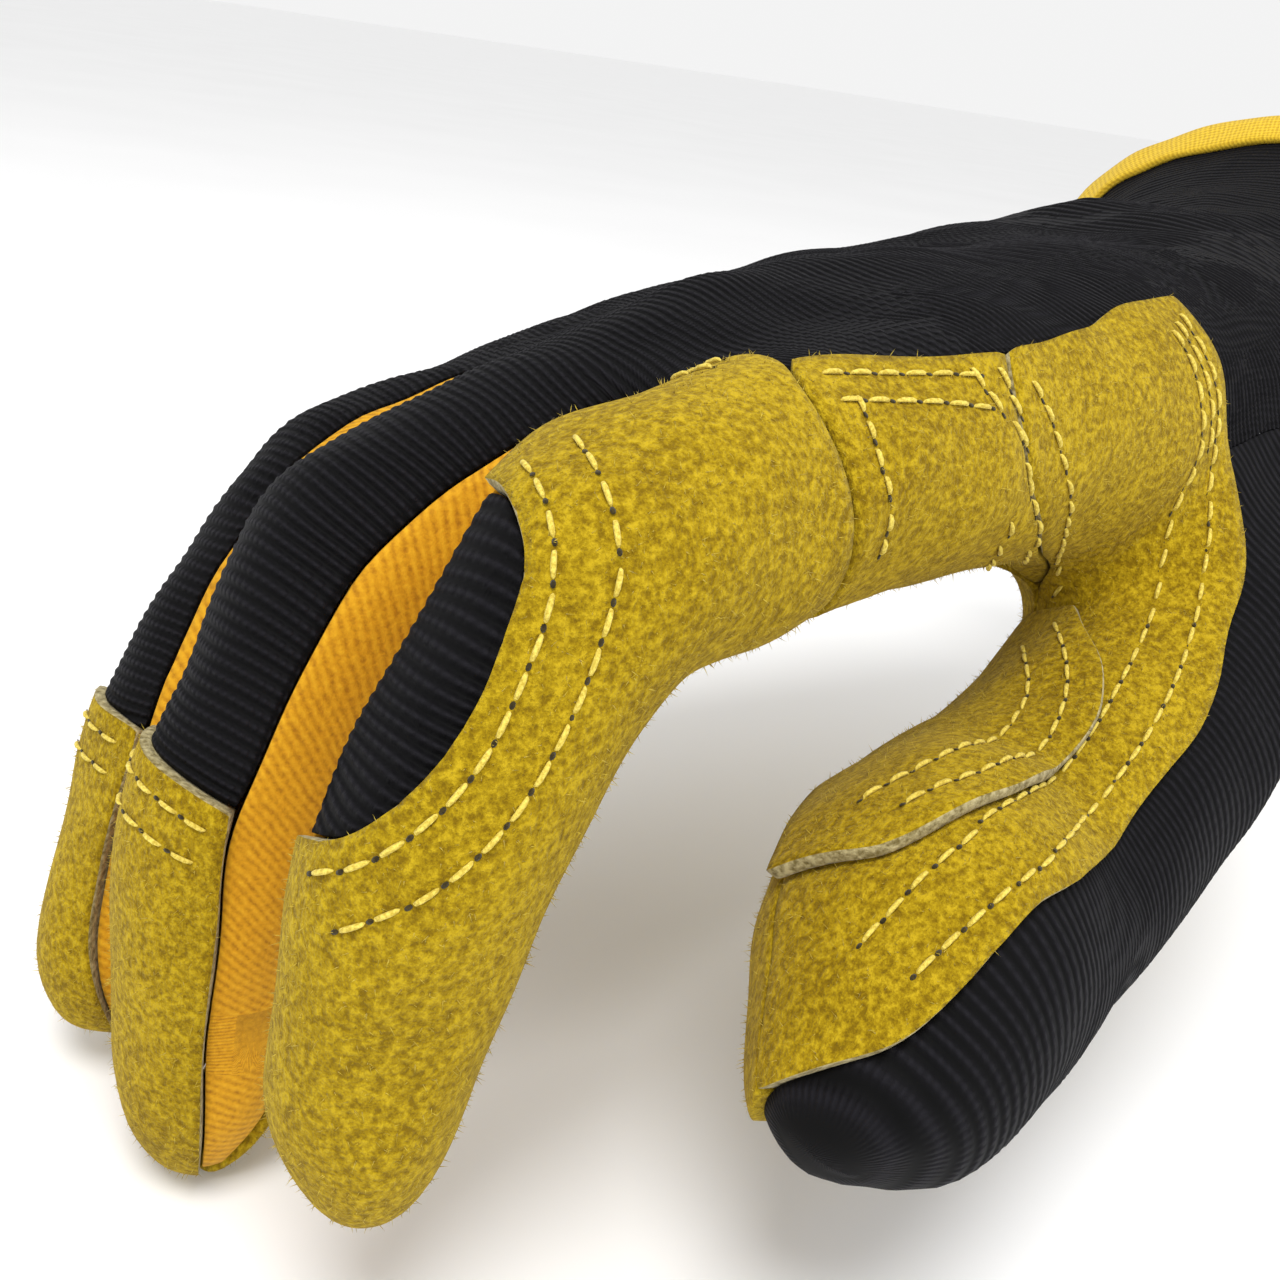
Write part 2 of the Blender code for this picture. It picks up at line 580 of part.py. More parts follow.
def back_blocks():
    """Hand back, backs of middle, ring and little finger, and the wrist's thumb side."""
    blocks = []
    turns = WRIST_TURNS
    cols = STEPS["back"]
    blocks.append(fill(TOP_A, wrist_arc(turns["back_index"], turns["corner"], STEPS["corner"]),
                       BACK_VALLEYS[0], join(TOP_B, TOP_C, CORNER_LINE)))
    blocks.append(fill(SIDE_C, wrist_arc(turns["corner"], turns["thumb_back"], len(SIDE_C) - 1),
                       CORNER_LINE, FORK_LINE))
    for name in ("middle", "ring", "little"):
        k = NAMES.index(name)
        wide = cols + STEPS["ulnar"] if name == "little" else cols
        finger = strip(name, EDGES[name, "thumbward", "back"], EDGES[name, "outer", "back"], wide,
                       (0, STEPS["finger"]))
        blocks.append(finger)
        if name != "little":
            arc = wrist_arc(turns[("back_index", "back_middle")[k - 1]],
                            turns[("back_middle", "back_ring")[k - 1]], cols)
            blocks.append(fill(finger[0], arc, BACK_VALLEYS[k - 1], BACK_VALLEYS[k]))
            continue
        guide = line([finger[0, cols], mark("little", .38, 128), mark("little", .18, 125),
                      lay(wrist(turns["back_little"])[None])[0]], BACK_ROWS)
        blocks.append(fill(finger[0, :cols + 1], wrist_arc(turns["back_ring"], turns["back_little"], cols),
                           BACK_VALLEYS[2], guide))
        blocks.append(fill(finger[0, cols:], wrist_arc(turns["back_little"], 360 + turns["ulnar"],
                                                       STEPS["ulnar"]), guide, ulnar_line(BACK_ROWS)))
    return blocks


def palm_blocks():
    """Palm, ball of the thumb, and the fronts of middle, ring and little finger over their tips."""
    blocks = []
    turns = WRIST_TURNS
    cols = STEPS["back"]
    radial = join(PALM_B, PALM_C, MITT_LINE)
    blocks.append(fill(PALM_A, wrist_arc(turns["mitt"], turns["palm_index"], cols), radial, PALM_VALLEYS[0]))
    blocks.append(fill(BASE_E, wrist_arc(turns["mitt"], turns["thumb_front"], cols), MITT_LINE, HEEL_LINE))
    for name in ("middle", "ring", "little"):
        k = NAMES.index(name)
        wide = cols + 1 if name == "little" else cols
        last = STEPS["finger"] + STEPS["cap"] + STEPS["pole"]
        finger = strip(name, EDGES[name, "thumbward", "palm"], EDGES[name, "outer", "palm"], wide, (0, last),
                       -360)
        blocks.append(finger)
        if name == "little":
            arc = wrist_arc(turns["palm_ring"], turns["ulnar"], wide)
            blocks.append(fill(finger[0], arc, PALM_VALLEYS[2], ulnar_line(PALM_ROWS)))
        else:
            arc = wrist_arc(turns[("palm_index", "palm_middle")[k - 1]],
                            turns[("palm_middle", "palm_ring")[k - 1]], cols)
            blocks.append(fill(finger[0], arc, PALM_VALLEYS[k - 1], PALM_VALLEYS[k]))
    return blocks


def cap_blocks(name):
    cols = STEPS["back"] + (STEPS["ulnar"] if name == "little" else 0)
    rows = (STEPS["finger"], STEPS["finger"] + STEPS["cap"] + STEPS["pole"])
    return [strip(name, EDGES[name, "thumbward", "back"], EDGES[name, "outer", "back"], cols, rows)]


def fourchette_blocks(k):
    """The strip down one finger's side, round the web and up the next finger's side."""
    first, second = NAMES[k], NAMES[k + 1]
    blocks = []
    for name, side in ((first, "outer"), (second, "thumbward")):
        left, right = EDGES[name, side, "back"], EDGES[name, side, "palm"]
        rows = len(left.s) - 1 - STEPS["pole"]
        base = LIMBS[name].measure(WEB_LINES[k])[2]
        u = np.linspace(0, 1, STEPS["web"] + 1)
        s = (1 - u)*left.s[:rows + 1, None] + u*right.s[:rows + 1, None]
        turn = (1 - u)*left.turn[:rows + 1, None] + u*right.turn[:rows + 1, None]
        # the middle columns start further out, at the web's own line
        s = base + (s - s[0])*(s[-1] - base)/(s[-1] - s[0])
        grid = lay(LIMBS[name].point(s, turn))
        grid[:, 0] = left.points[:rows + 1]
        grid[:, -1] = right.points[:rows + 1]
        grid[0] = WEB_LINES[k]
        blocks.append(grid)
    return blocks


INDEX_EDGE = EDGES["index", "outer", "back"]
INDEX_PALM_EDGE = EDGES["index", "outer", "palm"]
# Rows of the index finger where the window's frame begins, the window begins and ends, the frame ends
FRAME_TOP, WINDOW_TOP, WINDOW_FOOT, FRAME_FOOT, INDEX_END = 3, 5, 9, 11, 15
WINDOW_LINE = line([INDEX_EDGE.points[WINDOW_TOP], *[mark("index", *spot) for spot in WINDOW_EDGE[1:-1]],
                    INDEX_EDGE.points[WINDOW_FOOT]], 18)


def index_grid(low, high, whole):
    """Rows round the index finger to its outer palm seam, from its outer back seam if whole, or
    else from the side of the window's frame."""
    body = LIMBS["index"]
    side = WINDOW["side_turn"]
    even_s = np.linspace(INDEX_EDGE.s[low], INDEX_EDGE.s[high], high - low + 1)
    rows = []
    for i in range(low, high + 1):
        own = INDEX_EDGE.s[i] if whole else even_s[i - low]
        turns = np.concatenate([np.linspace(side, -50, 5), np.linspace(-50, INDEX_PALM_EDGE.turn[i] - 360, 5)[1:]])
        s = np.concatenate([np.full(5, own), np.linspace(own, INDEX_PALM_EDGE.s[i], 5)[1:]])
        if whole:
            turns = np.concatenate([np.linspace(INDEX_EDGE.turn[i], side, 6)[:-1], turns])
            s = np.concatenate([np.full(5, own), s])
        row = lay(body.point(s, turns))
        row[-1] = INDEX_PALM_EDGE.points[i]
        if whole:
            row[0] = INDEX_EDGE.points[i]
        rows.append(row)
    return np.array(rows)


def index_wrap_blocks():
    """The leather stall of the index finger, with a window in its back."""
    base = join(TOP_A, GROOVE_AB, PALM_A)
    top_row = index_grid(FRAME_TOP, FRAME_TOP, True)[0]
    root = fill(base, top_row, INDEX_EDGE.points[:FRAME_TOP + 1], INDEX_PALM_EDGE.points[:FRAME_TOP + 1])
    tip = index_grid(FRAME_FOOT, INDEX_END + STEPS["pole"], True)
    front = index_grid(FRAME_TOP, FRAME_FOOT, False)
    front[0] = top_row[5:]
    front[-1] = tip[0, 5:]
    frame = ruled(WINDOW_LINE, join(top_row[:6], front[:, 0], tip[0, 5::-1]), 2)
    frame[0] = INDEX_EDGE.points[WINDOW_TOP:FRAME_TOP - 1:-1]
    frame[-1] = INDEX_EDGE.points[WINDOW_FOOT:FRAME_FOOT + 1]
    return [root, tip, frame, front]


def window_blocks():
    """The piece of ribbed fabric that fills the index finger's window."""
    return [fill(WINDOW_LINE[:8], WINDOW_LINE[:10:-1], INDEX_EDGE.points[WINDOW_TOP:WINDOW_FOOT + 1],
                 WINDOW_LINE[7:12])]


def index_base_blocks():
    """The leather band round the index finger's knuckle."""
    return [fill(GROOVE_AB, SEAM_BC, TOP_B, PALM_B)]


def mitt_blocks():
    """The leather from the index finger's root over the crotch and along the thumb; the part
    nearer the seam with the thumb's front comes second."""
    left = join(SIDE_C, THUMB_C, TIP_C)
    right = join(SEAM_BC, PALM_C, THUMB_E, NECK_E, TIP_E)
    half = STEPS["top"]//2
    first = TOP_C[::-1]
    point = np.repeat(THUMB_TOP[None], half + 1, axis=0)
    return [relax(fill(first[:half + 1], point, left, PAD_LINE), RELAX_ROUNDS),
            relax(fill(first[half:], point, PAD_LINE, right), RELAX_ROUNDS)]


def overlay_blocks():
    """The pad sewn over the crotch and the thumb's front edge."""
    start = STEPS["mitt"] + 1
    return [mitt_blocks()[1][start:start + STEPS["palm_seam"] + STEPS["thumb"] - 2]]


def thumb_front_blocks():
    """The leather strip on the thumb's side towards the fingers."""
    left = join(THUMB_E, NECK_E, TIP_E)
    right = join(THUMB_F, TIP_F)
    point = np.repeat(THUMB_TOP[None], STEPS["web"] + 1, axis=0)
    return [fill(BASE_E, point, left, right)]


def thumb_back_blocks():
    """The fabric round the thumb's outer side, from the cuff over the tip."""
    cols = STEPS["thumb_round"]
    # columns of the two guide lines that keep the panel even
    high, low = 3, 6
    turns = np.linspace(66, -135, cols + 1)
    ring = LIMBS["thumb"].point(LIMBS["thumb"].length, turns)
    ring = lay(ring)
    ring[0] = THUMB_C[-1]
    ring[-1] = THUMB_F[-1]
    left = join(FORK_LINE[::-1], THUMB_C)
    right = join(HEEL_LINE[::-1], THUMB_F)
    arc = wrist_arc(WRIST_TURNS["thumb_back"], WRIST_TURNS["thumb_front"], cols)
    upper_root = lay(mark("thumb", .40, 12))
    lower_root = lay(mark("thumb", .42, -65))
    upper = join(line([arc[high], mark("thumb", .25, 12), upper_root], STEPS["wrist"]),
                 line([upper_root, mark("thumb", .58, -2), mark("thumb", .78, -8), ring[high]],
                      STEPS["thumb"]))
    lower = join(line([arc[low], mark("thumb", .25, -62), lower_root], STEPS["wrist"]),
                 line([lower_root, mark("thumb", .60, -78), mark("thumb", .78, -82), ring[low]],
                      STEPS["thumb"]))
    point = np.repeat(THUMB_TOP[None], cols + 1, axis=0)
    return [fill(arc[:high + 1], ring[:high + 1], left, upper),
            fill(arc[high:low + 1], ring[high:low + 1], upper, lower),
            fill(arc[low:], ring[low:], lower, right), fill(ring, point, TIP_C, TIP_F)]


def wrist_turns_all():
    """Turns of every column round the wrist seam, as the panels meet it, once round."""
    cols = STEPS["back"]
    order = [("thumb_front", 0, STEPS["thumb_round"]), ("mitt", 0, cols), ("palm_index", 0, cols),
             ("palm_middle", 0, cols), ("palm_ring", 0, cols), ("ulnar", 0, cols + 1),
             ("back_little", -360, STEPS["ulnar"]), ("back_ring", -360, cols), ("back_middle", -360, cols),
             ("back_index", -360, cols), ("corner", -360, STEPS["corner"]),
             ("thumb_back", -360, len(SIDE_C) - 1)]
    turns = [WRIST_TURNS["thumb_back"]]
    for place, whole, count in order:
        turns += list(np.linspace(turns[-1], WRIST_TURNS[place] + whole, count + 1)[1:])
    return turns


def cuff_blocks(end):
    turns = wrist_turns_all()
    spots = np.append(np.linspace(SEAM_X, OPENING_X - BINDING_WIDTH, STEPS["cuff"] + 1), end)
    grid = lay(np.array([[wrist(turn, x) for turn in turns] for x in spots]))
    grid[:, -1] = grid[:, 0]
    return [grid]


# Bodies from grids

def faces_out(grid):
    """Whether the grid's faces, rows before columns, look away from the hand."""
    down = grid[1:, :-1] - grid[:-1, :-1]
    across = grid[:-1, 1:] - grid[:-1, :-1]
    normals = np.cross(across, down).reshape(-1, 3)
    way = form(grid[:-1, :-1].reshape(-1, 3))[1]
    return (normals*way).sum() > 0


def weld(blocks):
    """Points and outward triangles of several grids, equal points joined."""
    points = []
    faces = []
    known = {}
    for grid in blocks:
        rows, cols = grid.shape[:2]
        turned = not faces_out(grid)
        index = np.zeros((rows, cols), int)
        for i in range(rows):
            for j in range(cols):
                key = tuple(np.round(grid[i, j], 3))
                if key not in known:
                    known[key] = len(points)
                    points.append(grid[i, j])
                index[i, j] = known[key]
        for i in range(rows - 1):
            for j in range(cols - 1):
                quad = [index[i, j], index[i, j + 1], index[i + 1, j + 1], index[i + 1, j]]
                a, b, c, d = [points[q] for q in quad]
                if np.linalg.norm(a - c) <= np.linalg.norm(b - d):
                    split = [(quad[0], quad[1], quad[2]), (quad[0], quad[2], quad[3])]
                else:
                    split = [(quad[0], quad[1], quad[3]), (quad[1], quad[2], quad[3])]
                split = [face for face in split if len(set(face)) == 3]
                faces += [face[::-1] for face in split] if turned else split
    return np.array(points), faces


def outwards(points):
    """Unit ways out at points, evened out over a small reach, so that creases get one clear way."""
    reach = EVEN_REACH*PALM_BREADTH
    way = np.stack([form(points + reach*axis)[0] - form(points - reach*axis)[0] for axis in np.eye(3)], -1)
    return way/np.linalg.norm(way, axis=1, keepdims=True)


def rim_edges(faces):
    """Edges used by one face only, in that face's direction."""
    uses = {}
    for face in faces:
        for k in range(3):
            edge = (face[k], face[(k + 1) % 3])
            uses[edge] = uses.get(edge, 0) + 1
    return [edge for edge in uses if (edge[1], edge[0]) not in uses]


def inset(points, faces, way, width):
    """Draws the rim of a panel inwards, so that neighbouring panels stand apart."""
    inward = {}
    for a, b in rim_edges(faces):
        across = np.cross(way[a] + way[b], points[b] - points[a])
        across = across/np.linalg.norm(across)
        inward.setdefault(a, []).append(across)
        inward.setdefault(b, []).append(across)
    moved = points.copy()
    for k, ways in inward.items():
        mean = np.sum(ways, axis=0)
        mean = mean/max(np.linalg.norm(mean), 1e-9)
        sharp = max(mean@ways[0], SHARPEST)
        moved[k] = points[k] + width/sharp*mean
    return moved


def material(name, colour, roughness):
    made = bpy.data.materials.new(name)
    made.use_nodes = True
    shader = made.node_tree.nodes["Principled BSDF"]
    shader.inputs["Base Color"].default_value = (*colour, 1)
    shader.inputs["Roughness"].default_value = roughness
    shader.inputs["Metallic"].default_value = 0
    return made


def body(name, points, faces, finish, parent):
    mesh = bpy.data.meshes.new(name)
    mesh.from_pydata([tuple((p - OPENING)*MM) for p in points], [], [tuple(int(i) for i in f) for f in faces])
    mesh.validate()
    mesh.polygons.foreach_set("use_smooth", [True]*len(mesh.polygons))
    mesh.set_sharp_from_angle(angle=radians(50))
    mesh.materials.append(finish)
    made = bpy.data.objects.new(name, mesh)
    bpy.context.collection.objects.link(made)
    made.parent = parent
    return made


def panel(name, blocks, low, high, finish, parent, clearance=.5*SEAM_GAP):
    """A wall between two heights over the hand form, closed at its rim."""
    points, faces = weld(blocks)
    way = outwards(points)
    count = len(points)
    walls = np.vstack([inset(points + height*way, faces, way, clearance) for height in (high, low)])
    shell = list(faces) + [(c + count, b + count, a + count) for a, b, c in faces]
    for a, b in rim_edges(faces):
        c, d = a + count, b + count
        if np.linalg.norm(walls[a] - walls[d]) < np.linalg.norm(walls[b] - walls[c]):
            shell += [(b, a, d), (a, c, d)]
        else:
            shell += [(b, a, c), (b, c, d)]
    return body(name, walls, shell, finish, parent)


def binding(name, finish, parent):
    """The folded tape over the cuff's edge, a U in section."""
    turns = wrist_turns_all()[:-1]
    inner = -LAYER_GAP
    outer = FABRIC_WALL + LAYER_GAP
    back = OPENING_X - BINDING_WIDTH
    section = [(back, outer), (back, outer + BINDING_WALL), (RIM_X, outer + BINDING_WALL),
               (RIM_X, inner - BINDING_WALL), (back, inner - BINDING_WALL), (back, inner),
               (RIM_X - BINDING_WALL, inner), (RIM_X - BINDING_WALL, outer)]
    rings = []
    for x, height in section:
        seats = lay(np.array([wrist(turn, x) for turn in turns]))
        rings.append(seats + height*outwards(seats))
    points = np.array(rings).reshape(-1, 3)
    size = len(section)
    count = len(turns)
    faces = []
    for i in range(size):
        for j in range(count):
            a, b = i*count + j, i*count + (j + 1) % count
            c, d = ((i + 1) % size)*count + (j + 1) % count, ((i + 1) % size)*count + j
            faces += [(a, b, c), (a, c, d)]
    mesh_volume = sum(np.dot(points[a], np.cross(points[b], points[c])) for a, b, c in faces)
    if mesh_volume < 0:
        faces = [face[::-1] for face in faces]
    return body(name, points, faces, finish, parent)


def clear_scene():
    for item in list(bpy.data.objects):
        bpy.data.objects.remove(item, do_unlink=True)


def build():
    clear_scene()
    root = bpy.data.objects.new("rigger_glove", None)
    bpy.context.collection.objects.link(root)
    ribbed = material("black_ribbed_fabric", (.012, .012, .014), .85)
    suede = material("yellow_suede", (.42, .29, .02), .95)
    twill = material("yellow_twill", (.62, .36, .03), .8)
    tape = material("yellow_binding", (.75, .55, .12), .8)
    cloth = (0, FABRIC_WALL)
    hide = (0, LEATHER_WALL)
    lift = LEATHER_WALL + LAYER_GAP
    panel("back_panel", back_blocks(), *cloth, ribbed, root)
    panel("palm_panel", palm_blocks(), *hide, suede, root)
    panel("index_wrap", index_wrap_blocks(), *hide, suede, root)
    panel("index_back", window_blocks(), *cloth, ribbed, root)
    panel("index_base", index_base_blocks(), *hide, suede, root)
    panel("thumb_panel", mitt_blocks(), *hide, suede, root)
    panel("thumb_saddle", overlay_blocks(), lift, lift + OVERLAY_WALL, suede, root)
    panel("thumb_front", thumb_front_blocks(), *hide, suede, root)
    panel("thumb_back", thumb_back_blocks(), *cloth, ribbed, root)
    for name in ("middle", "ring", "little"):
        panel(name + "_cap", cap_blocks(name), *hide, suede, root)
    for k, name in enumerate(("index", "middle", "ring")):
        panel("fourchette_" + name, fourchette_blocks(k), *cloth, twill, root, SEAM_GAP)
    panel("cuff", cuff_blocks(RIM_X - BINDING_WALL - LAYER_GAP + .5*SEAM_GAP), *cloth, ribbed, root)
    binding("cuff_binding", tape, root)


build()
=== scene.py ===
from math import cos, pi, radians, sin

import bmesh
import bpy
import numpy as np
from mathutils import Matrix, Vector
from mathutils.bvhtree import BVHTree


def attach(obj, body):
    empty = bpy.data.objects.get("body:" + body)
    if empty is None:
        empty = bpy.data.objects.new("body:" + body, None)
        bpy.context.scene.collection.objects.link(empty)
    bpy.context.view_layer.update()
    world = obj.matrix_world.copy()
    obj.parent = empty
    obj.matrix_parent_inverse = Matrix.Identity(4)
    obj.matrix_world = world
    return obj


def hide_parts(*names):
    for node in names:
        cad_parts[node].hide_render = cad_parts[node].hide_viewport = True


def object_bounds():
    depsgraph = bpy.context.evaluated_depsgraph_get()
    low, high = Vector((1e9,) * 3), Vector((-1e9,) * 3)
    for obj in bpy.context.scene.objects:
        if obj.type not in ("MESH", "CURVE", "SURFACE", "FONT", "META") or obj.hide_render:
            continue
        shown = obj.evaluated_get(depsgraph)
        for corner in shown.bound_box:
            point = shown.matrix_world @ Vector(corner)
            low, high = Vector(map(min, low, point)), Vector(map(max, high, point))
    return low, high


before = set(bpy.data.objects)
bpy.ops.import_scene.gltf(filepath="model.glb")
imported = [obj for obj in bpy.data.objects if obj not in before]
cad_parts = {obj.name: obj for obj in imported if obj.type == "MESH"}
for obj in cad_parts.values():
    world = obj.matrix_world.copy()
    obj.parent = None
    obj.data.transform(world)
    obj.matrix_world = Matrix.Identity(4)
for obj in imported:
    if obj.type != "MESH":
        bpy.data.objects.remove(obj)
SIZE_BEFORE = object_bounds()
MM = 0.001
SEED = 7

# The lengths in these tables are in millimetres. The frame, the depths of the materials' bumps, and the floor and
# lamps are in metres.

# Middle lines of the limbs in the frame, with radii: they guide the run of the cloth's ribs and tell a wall's
# outside from its inside
LIMB_LINES = {
    "index": [(-75, -29, -9, 14), (-136, -32, -8, 11), (-172, -35, -15, 9.5), (-186, -37, -38, 8.5),
              (-191, -39, -66, 7)],
    "middle": [(-75, -12, -9, 14), (-139, -10, -8, 12), (-184, -8, -26, 10.5), (-196, -8, -56, 9),
               (-193, -8, -80, 7)],
    "ring": [(-75, 3, -9, 14), (-133, 14, -16, 12), (-176, 14, -30, 10), (-193, 14, -57, 8.5),
             (-194, 14, -83, 7)],
    "little": [(-75, 14, -9, 14), (-125, 32, -21, 11), (-157, 35, -35, 9), (-167, 36, -55, 8),
               (-168, 37, -76, 6.5)],
    "thumb": [(-48, -20, -24, 17), (-72, -36, -30, 17), (-109, -48, -43, 14), (-135, -50, -53, 15),
              (-150, -55, -50, 15), (-164, -61, -55, 9)],
}
FINGERS = ("index", "middle", "ring", "little")

# The ribs: their pitch, their drift across the hand, the radii that turn an angle into a length, and how quickly
# the next segment's and the next limb's say fades with distance
RIB_PITCH = 0.92
THUMB_PITCH = 1.05
DRIFT = 0.35
LIMB_RADIUS = 10.5
CUFF_RADIUS = 40
SEGMENT_BLEND = 1.2
LIMB_BLEND = 3.0
FAR_LIMB = 60
# How many of its own lengths a place may run past a segment's start and end, and at the line's own two ends
SEGMENT_REACH = (-3.0, 4.0)
LINE_REACH = (-50, 50)

# Ribbed cloths: cuts between the refined points, rib pitch and rib height
RIBBED = {
    "back_panel": (4, RIB_PITCH, 0.19),
    "index_back": (4, RIB_PITCH, 0.19),
    "thumb_back": (3, THUMB_PITCH, 0.10),
    "cuff": (3, RIB_PITCH, 0.08),
}
# Share of its length that an edge runs along the limb when ribs have to be cut into it
CROSSING = 0.55

# Kinds of faces of a wall
OUTSIDE, EDGE, INSIDE = 0, 1, 2
# Bends between faces, radians: sharp at a wall's corner, smooth within a sheet, and hard within the cut edge,
# where it gets a crease
SHARP = 0.8
SMOOTH = 0.6
HARD = 0.9
HARD_CREASE = 0.5
# Least cosine between neighbouring faces of one sheet, and the fewest faces that make a sheet
SAME_SHEET = 0.35
FEWEST = 4
# Points nearer than this are one, and how flat and even two triangles have to be to join
WELD = 0.002
FLAT = 0.7
EVEN = 0.9

# How far the cloth's edges fill the seams, with two seams left more open
SPREAD = 0.17
OPEN_SEAMS = dict(index_base=-0.12, index_wrap=0.02)

# The slack of the cloth: for each direction two waves, each with its wave numbers in radians a millimetre and phase
SLACK = 0.45
BULGES = [
    ((0, .19, .11, 1.3), (.13, 0, 0, .4)),
    ((.17, 0, .15, 2.1), (0, .16, 0, -.3)),
    ((.21, -.12, 0, .7), (0, 0, .14, 1.1)),
]
RIPPLES = [
    ((0, .43, .31, 0), (.37, 0, 0, .9)),
    ((.39, 0, -.33, .6), (0, .41, 0, 1.2)),
    ((.45, .35, 0, 2.0), (0, 0, .36, .2)),
]
RIPPLE_SHARE = 0.45
# The folds round the wrist: their height, the wrist's middle, how far along the hand they reach, their wave number,
# the waves that bend them (height, wave numbers along Y and Z, phase), and the even and uneven shares of the height
WRIST_SLACK = 1.25
WRIST = (-38, 2, -2)
WRIST_REACH = 18
FOLD_WAVE = 0.55
FOLD_BENDS = [(1.6, .09, 0, .5), (1.1, 0, .11, 0)]
FOLD_EVEN, FOLD_UNEVEN = 0.6, 0.4

# Ends of the sewn lines
WEB_END = (-159.9, -21.9, -5.9)
WRAP_CORNER = (-160.4, -34.4, -1.1)
BASE_CORNER = (-137.8, -38.5, 0.5)
BASE_TURN = (-159.3, -40.3, -18.5)
CROTCH = (-109.6, -33.1, -25.9)
PANEL_CORNER = (-101.4, -32.6, 4.5)
FORK = (-96.7, -40.9, -8.9)
THUMB_TIP = (-164.3, -64.6, -45.8)
PAD_START = (-110.2, -38.3, -23.0)
PAD_END = (-159.0, -54.8, -39.0)
WINDOW_NEAR = (-187.5, -33.1, -9.9)
WINDOW_SIDE = (-190.5, -44.0, -14.0)
WINDOW_FAR = (-201.7, -35.9, -34.6)
# Ends of the caps' seams, and a point that each seam passes
CAP_SEAMS = {
    "middle_cap": ((-199.2, -14.8, -42.2), (-198.9, -0.9, -42.0), (-208, -8, -42)),
    "ring_cap": ((-198.0, 8.9, -46.7), (-196.6, 19.4, -47.4), (-206, 14, -47)),
    "little_cap": ((-174.4, 30.4, -51.3), (-165.7, 42.7, -53.5), (-177, 37, -52)),
}
CAP_INSETS = (2.2, 5.6)

# Stitches: their pitch, the thread's width and its share of a stitch's length, the needle holes' radius, the bare
# end of a row, and the least share of its pitch that a stitch may have
STITCH_PITCH = 3.0
THREAD_WIDTH = 0.47
THREAD_SHARE = 0.76
HOLE_RADIUS = 0.28
BARE_END = 1.0
SHORTEST = 0.5
# A bar of thread: along it in lengths, its width in widths, and its rise over the leather in widths
BAR = [(-.50, .10, -.25), (-.42, .75, .30), (-.2, 1.0, .55), (.2, 1.0, .55), (.42, .75, .30), (.50, .10, -.25)]
BAR_TURNS = [k*pi/3 for k in range(6)]
# A needle hole: its top, its bottom and its rim over the leather, and its stretch along and across the row
HOLE_TOP, HOLE_BOTTOM, HOLE_RIM = 0.06, -0.10, 0.03
HOLE_STRETCH = (1.25, 0.8)
HOLE_TURNS = [k*pi/4 for k in range(8)]
# Rounds of smoothing: of a rim, of a row beside it, and of a row moved back to its inset
RIM_ROUNDS = 12
ROW_ROUNDS = 60
HELD_ROUNDS = 8
# Shares of its inset: a row nearer the rim than the first is moved back, and than the second is taken for lost
TOO_NEAR = 0.9
LOST = 0.5
# How far from the rim the cloth's side is looked for, and the most points of a rim
PROBE = 1.5
LONGEST_RIM = 3000

# Nap: how many stray fibres stand on the suede, and the ranges of their tilt (a share), length and half width
FIBRES_PER_CM2 = 70
FIBRE_TILT = (.1, .75)
FIBRE_LENGTH = (.5, 1.35)
FIBRE_WIDTH = (.04, .07)
FIBRE_ROOT = .1
FIBRE_TURNS = (0, 2*pi/3, 4*pi/3)

# Camera, fitted to the photograph: place, angles in degrees, and focal length in the photograph's pixels
EYE = (-249.29, -117.66, 22.96)
AZIMUTH, DOWN, ROLL = radians(42.64), radians(22.05), radians(8.51)
FOCAL_PIXELS = 1426.9
PHOTO_PIXELS = 1280
SENSOR = 36


def at(point):
    return np.array(point)*MM


def unit(rows, least):
    """Rows of vectors at length 1, where they aren't shorter than least."""
    return rows/np.maximum(np.linalg.norm(rows, axis=1), least)[:, None]


# Materials

def paint(name, roughness, sheen=0.0, sheen_tint=(1, 1, 1, 1), specular=0.3):
    """A material and its shader node, with the values that stay the same over the surface."""
    made = bpy.data.materials.new(name)
    made.use_nodes = True
    shader = made.node_tree.nodes["Principled BSDF"]
    shader.inputs["Roughness"].default_value = roughness
    shader.inputs["Specular IOR Level"].default_value = specular
    shader.inputs["Sheen Weight"].default_value = sheen
    shader.inputs["Sheen Roughness"].default_value = 0.5
    shader.inputs["Sheen Tint"].default_value = sheen_tint
    return made, shader


def node(made, kind, **values):
    new = made.node_tree.nodes.new(kind)
    for key, value in values.items():
        setattr(new, key, value)
    return new


def link(made, source, target):
    made.node_tree.links.new(source, target)


def noise(made, scale, detail=2.0, rough=0.5, stretch=(1, 1, 1)):
    """Noise in the object's own place, scale cells to a metre."""
    place = node(made, "ShaderNodeTexCoord")
    turn = node(made, "ShaderNodeMapping")
    turn.inputs["Scale"].default_value = stretch
    link(made, place.outputs["Object"], turn.inputs["Vector"])
    cloud = node(made, "ShaderNodeTexNoise")
    cloud.inputs["Scale"].default_value = scale
    cloud.inputs["Detail"].default_value = detail
    cloud.inputs["Roughness"].default_value = rough
    link(made, turn.outputs["Vector"], cloud.inputs["Vector"])
    return cloud.outputs["Fac"]


def number(made, operation, first, second=None):
    """A calculation on one or two values, each a plain number or a node's output."""
    step = node(made, "ShaderNodeMath", operation=operation)
    for slot, value in enumerate((first, second)):
        if value is None:
            continue
        if isinstance(value, (int, float)):
            step.inputs[slot].default_value = value
        else:
            link(made, value, step.inputs[slot])
    return step.outputs[0]


def mixed(made, *shares):
    """The sum of values, each times its share."""
    total = None
    for value, share in shares:
        part = number(made, "MULTIPLY", value, share)
        total = part if total is None else number(made, "ADD", total, part)
    return total


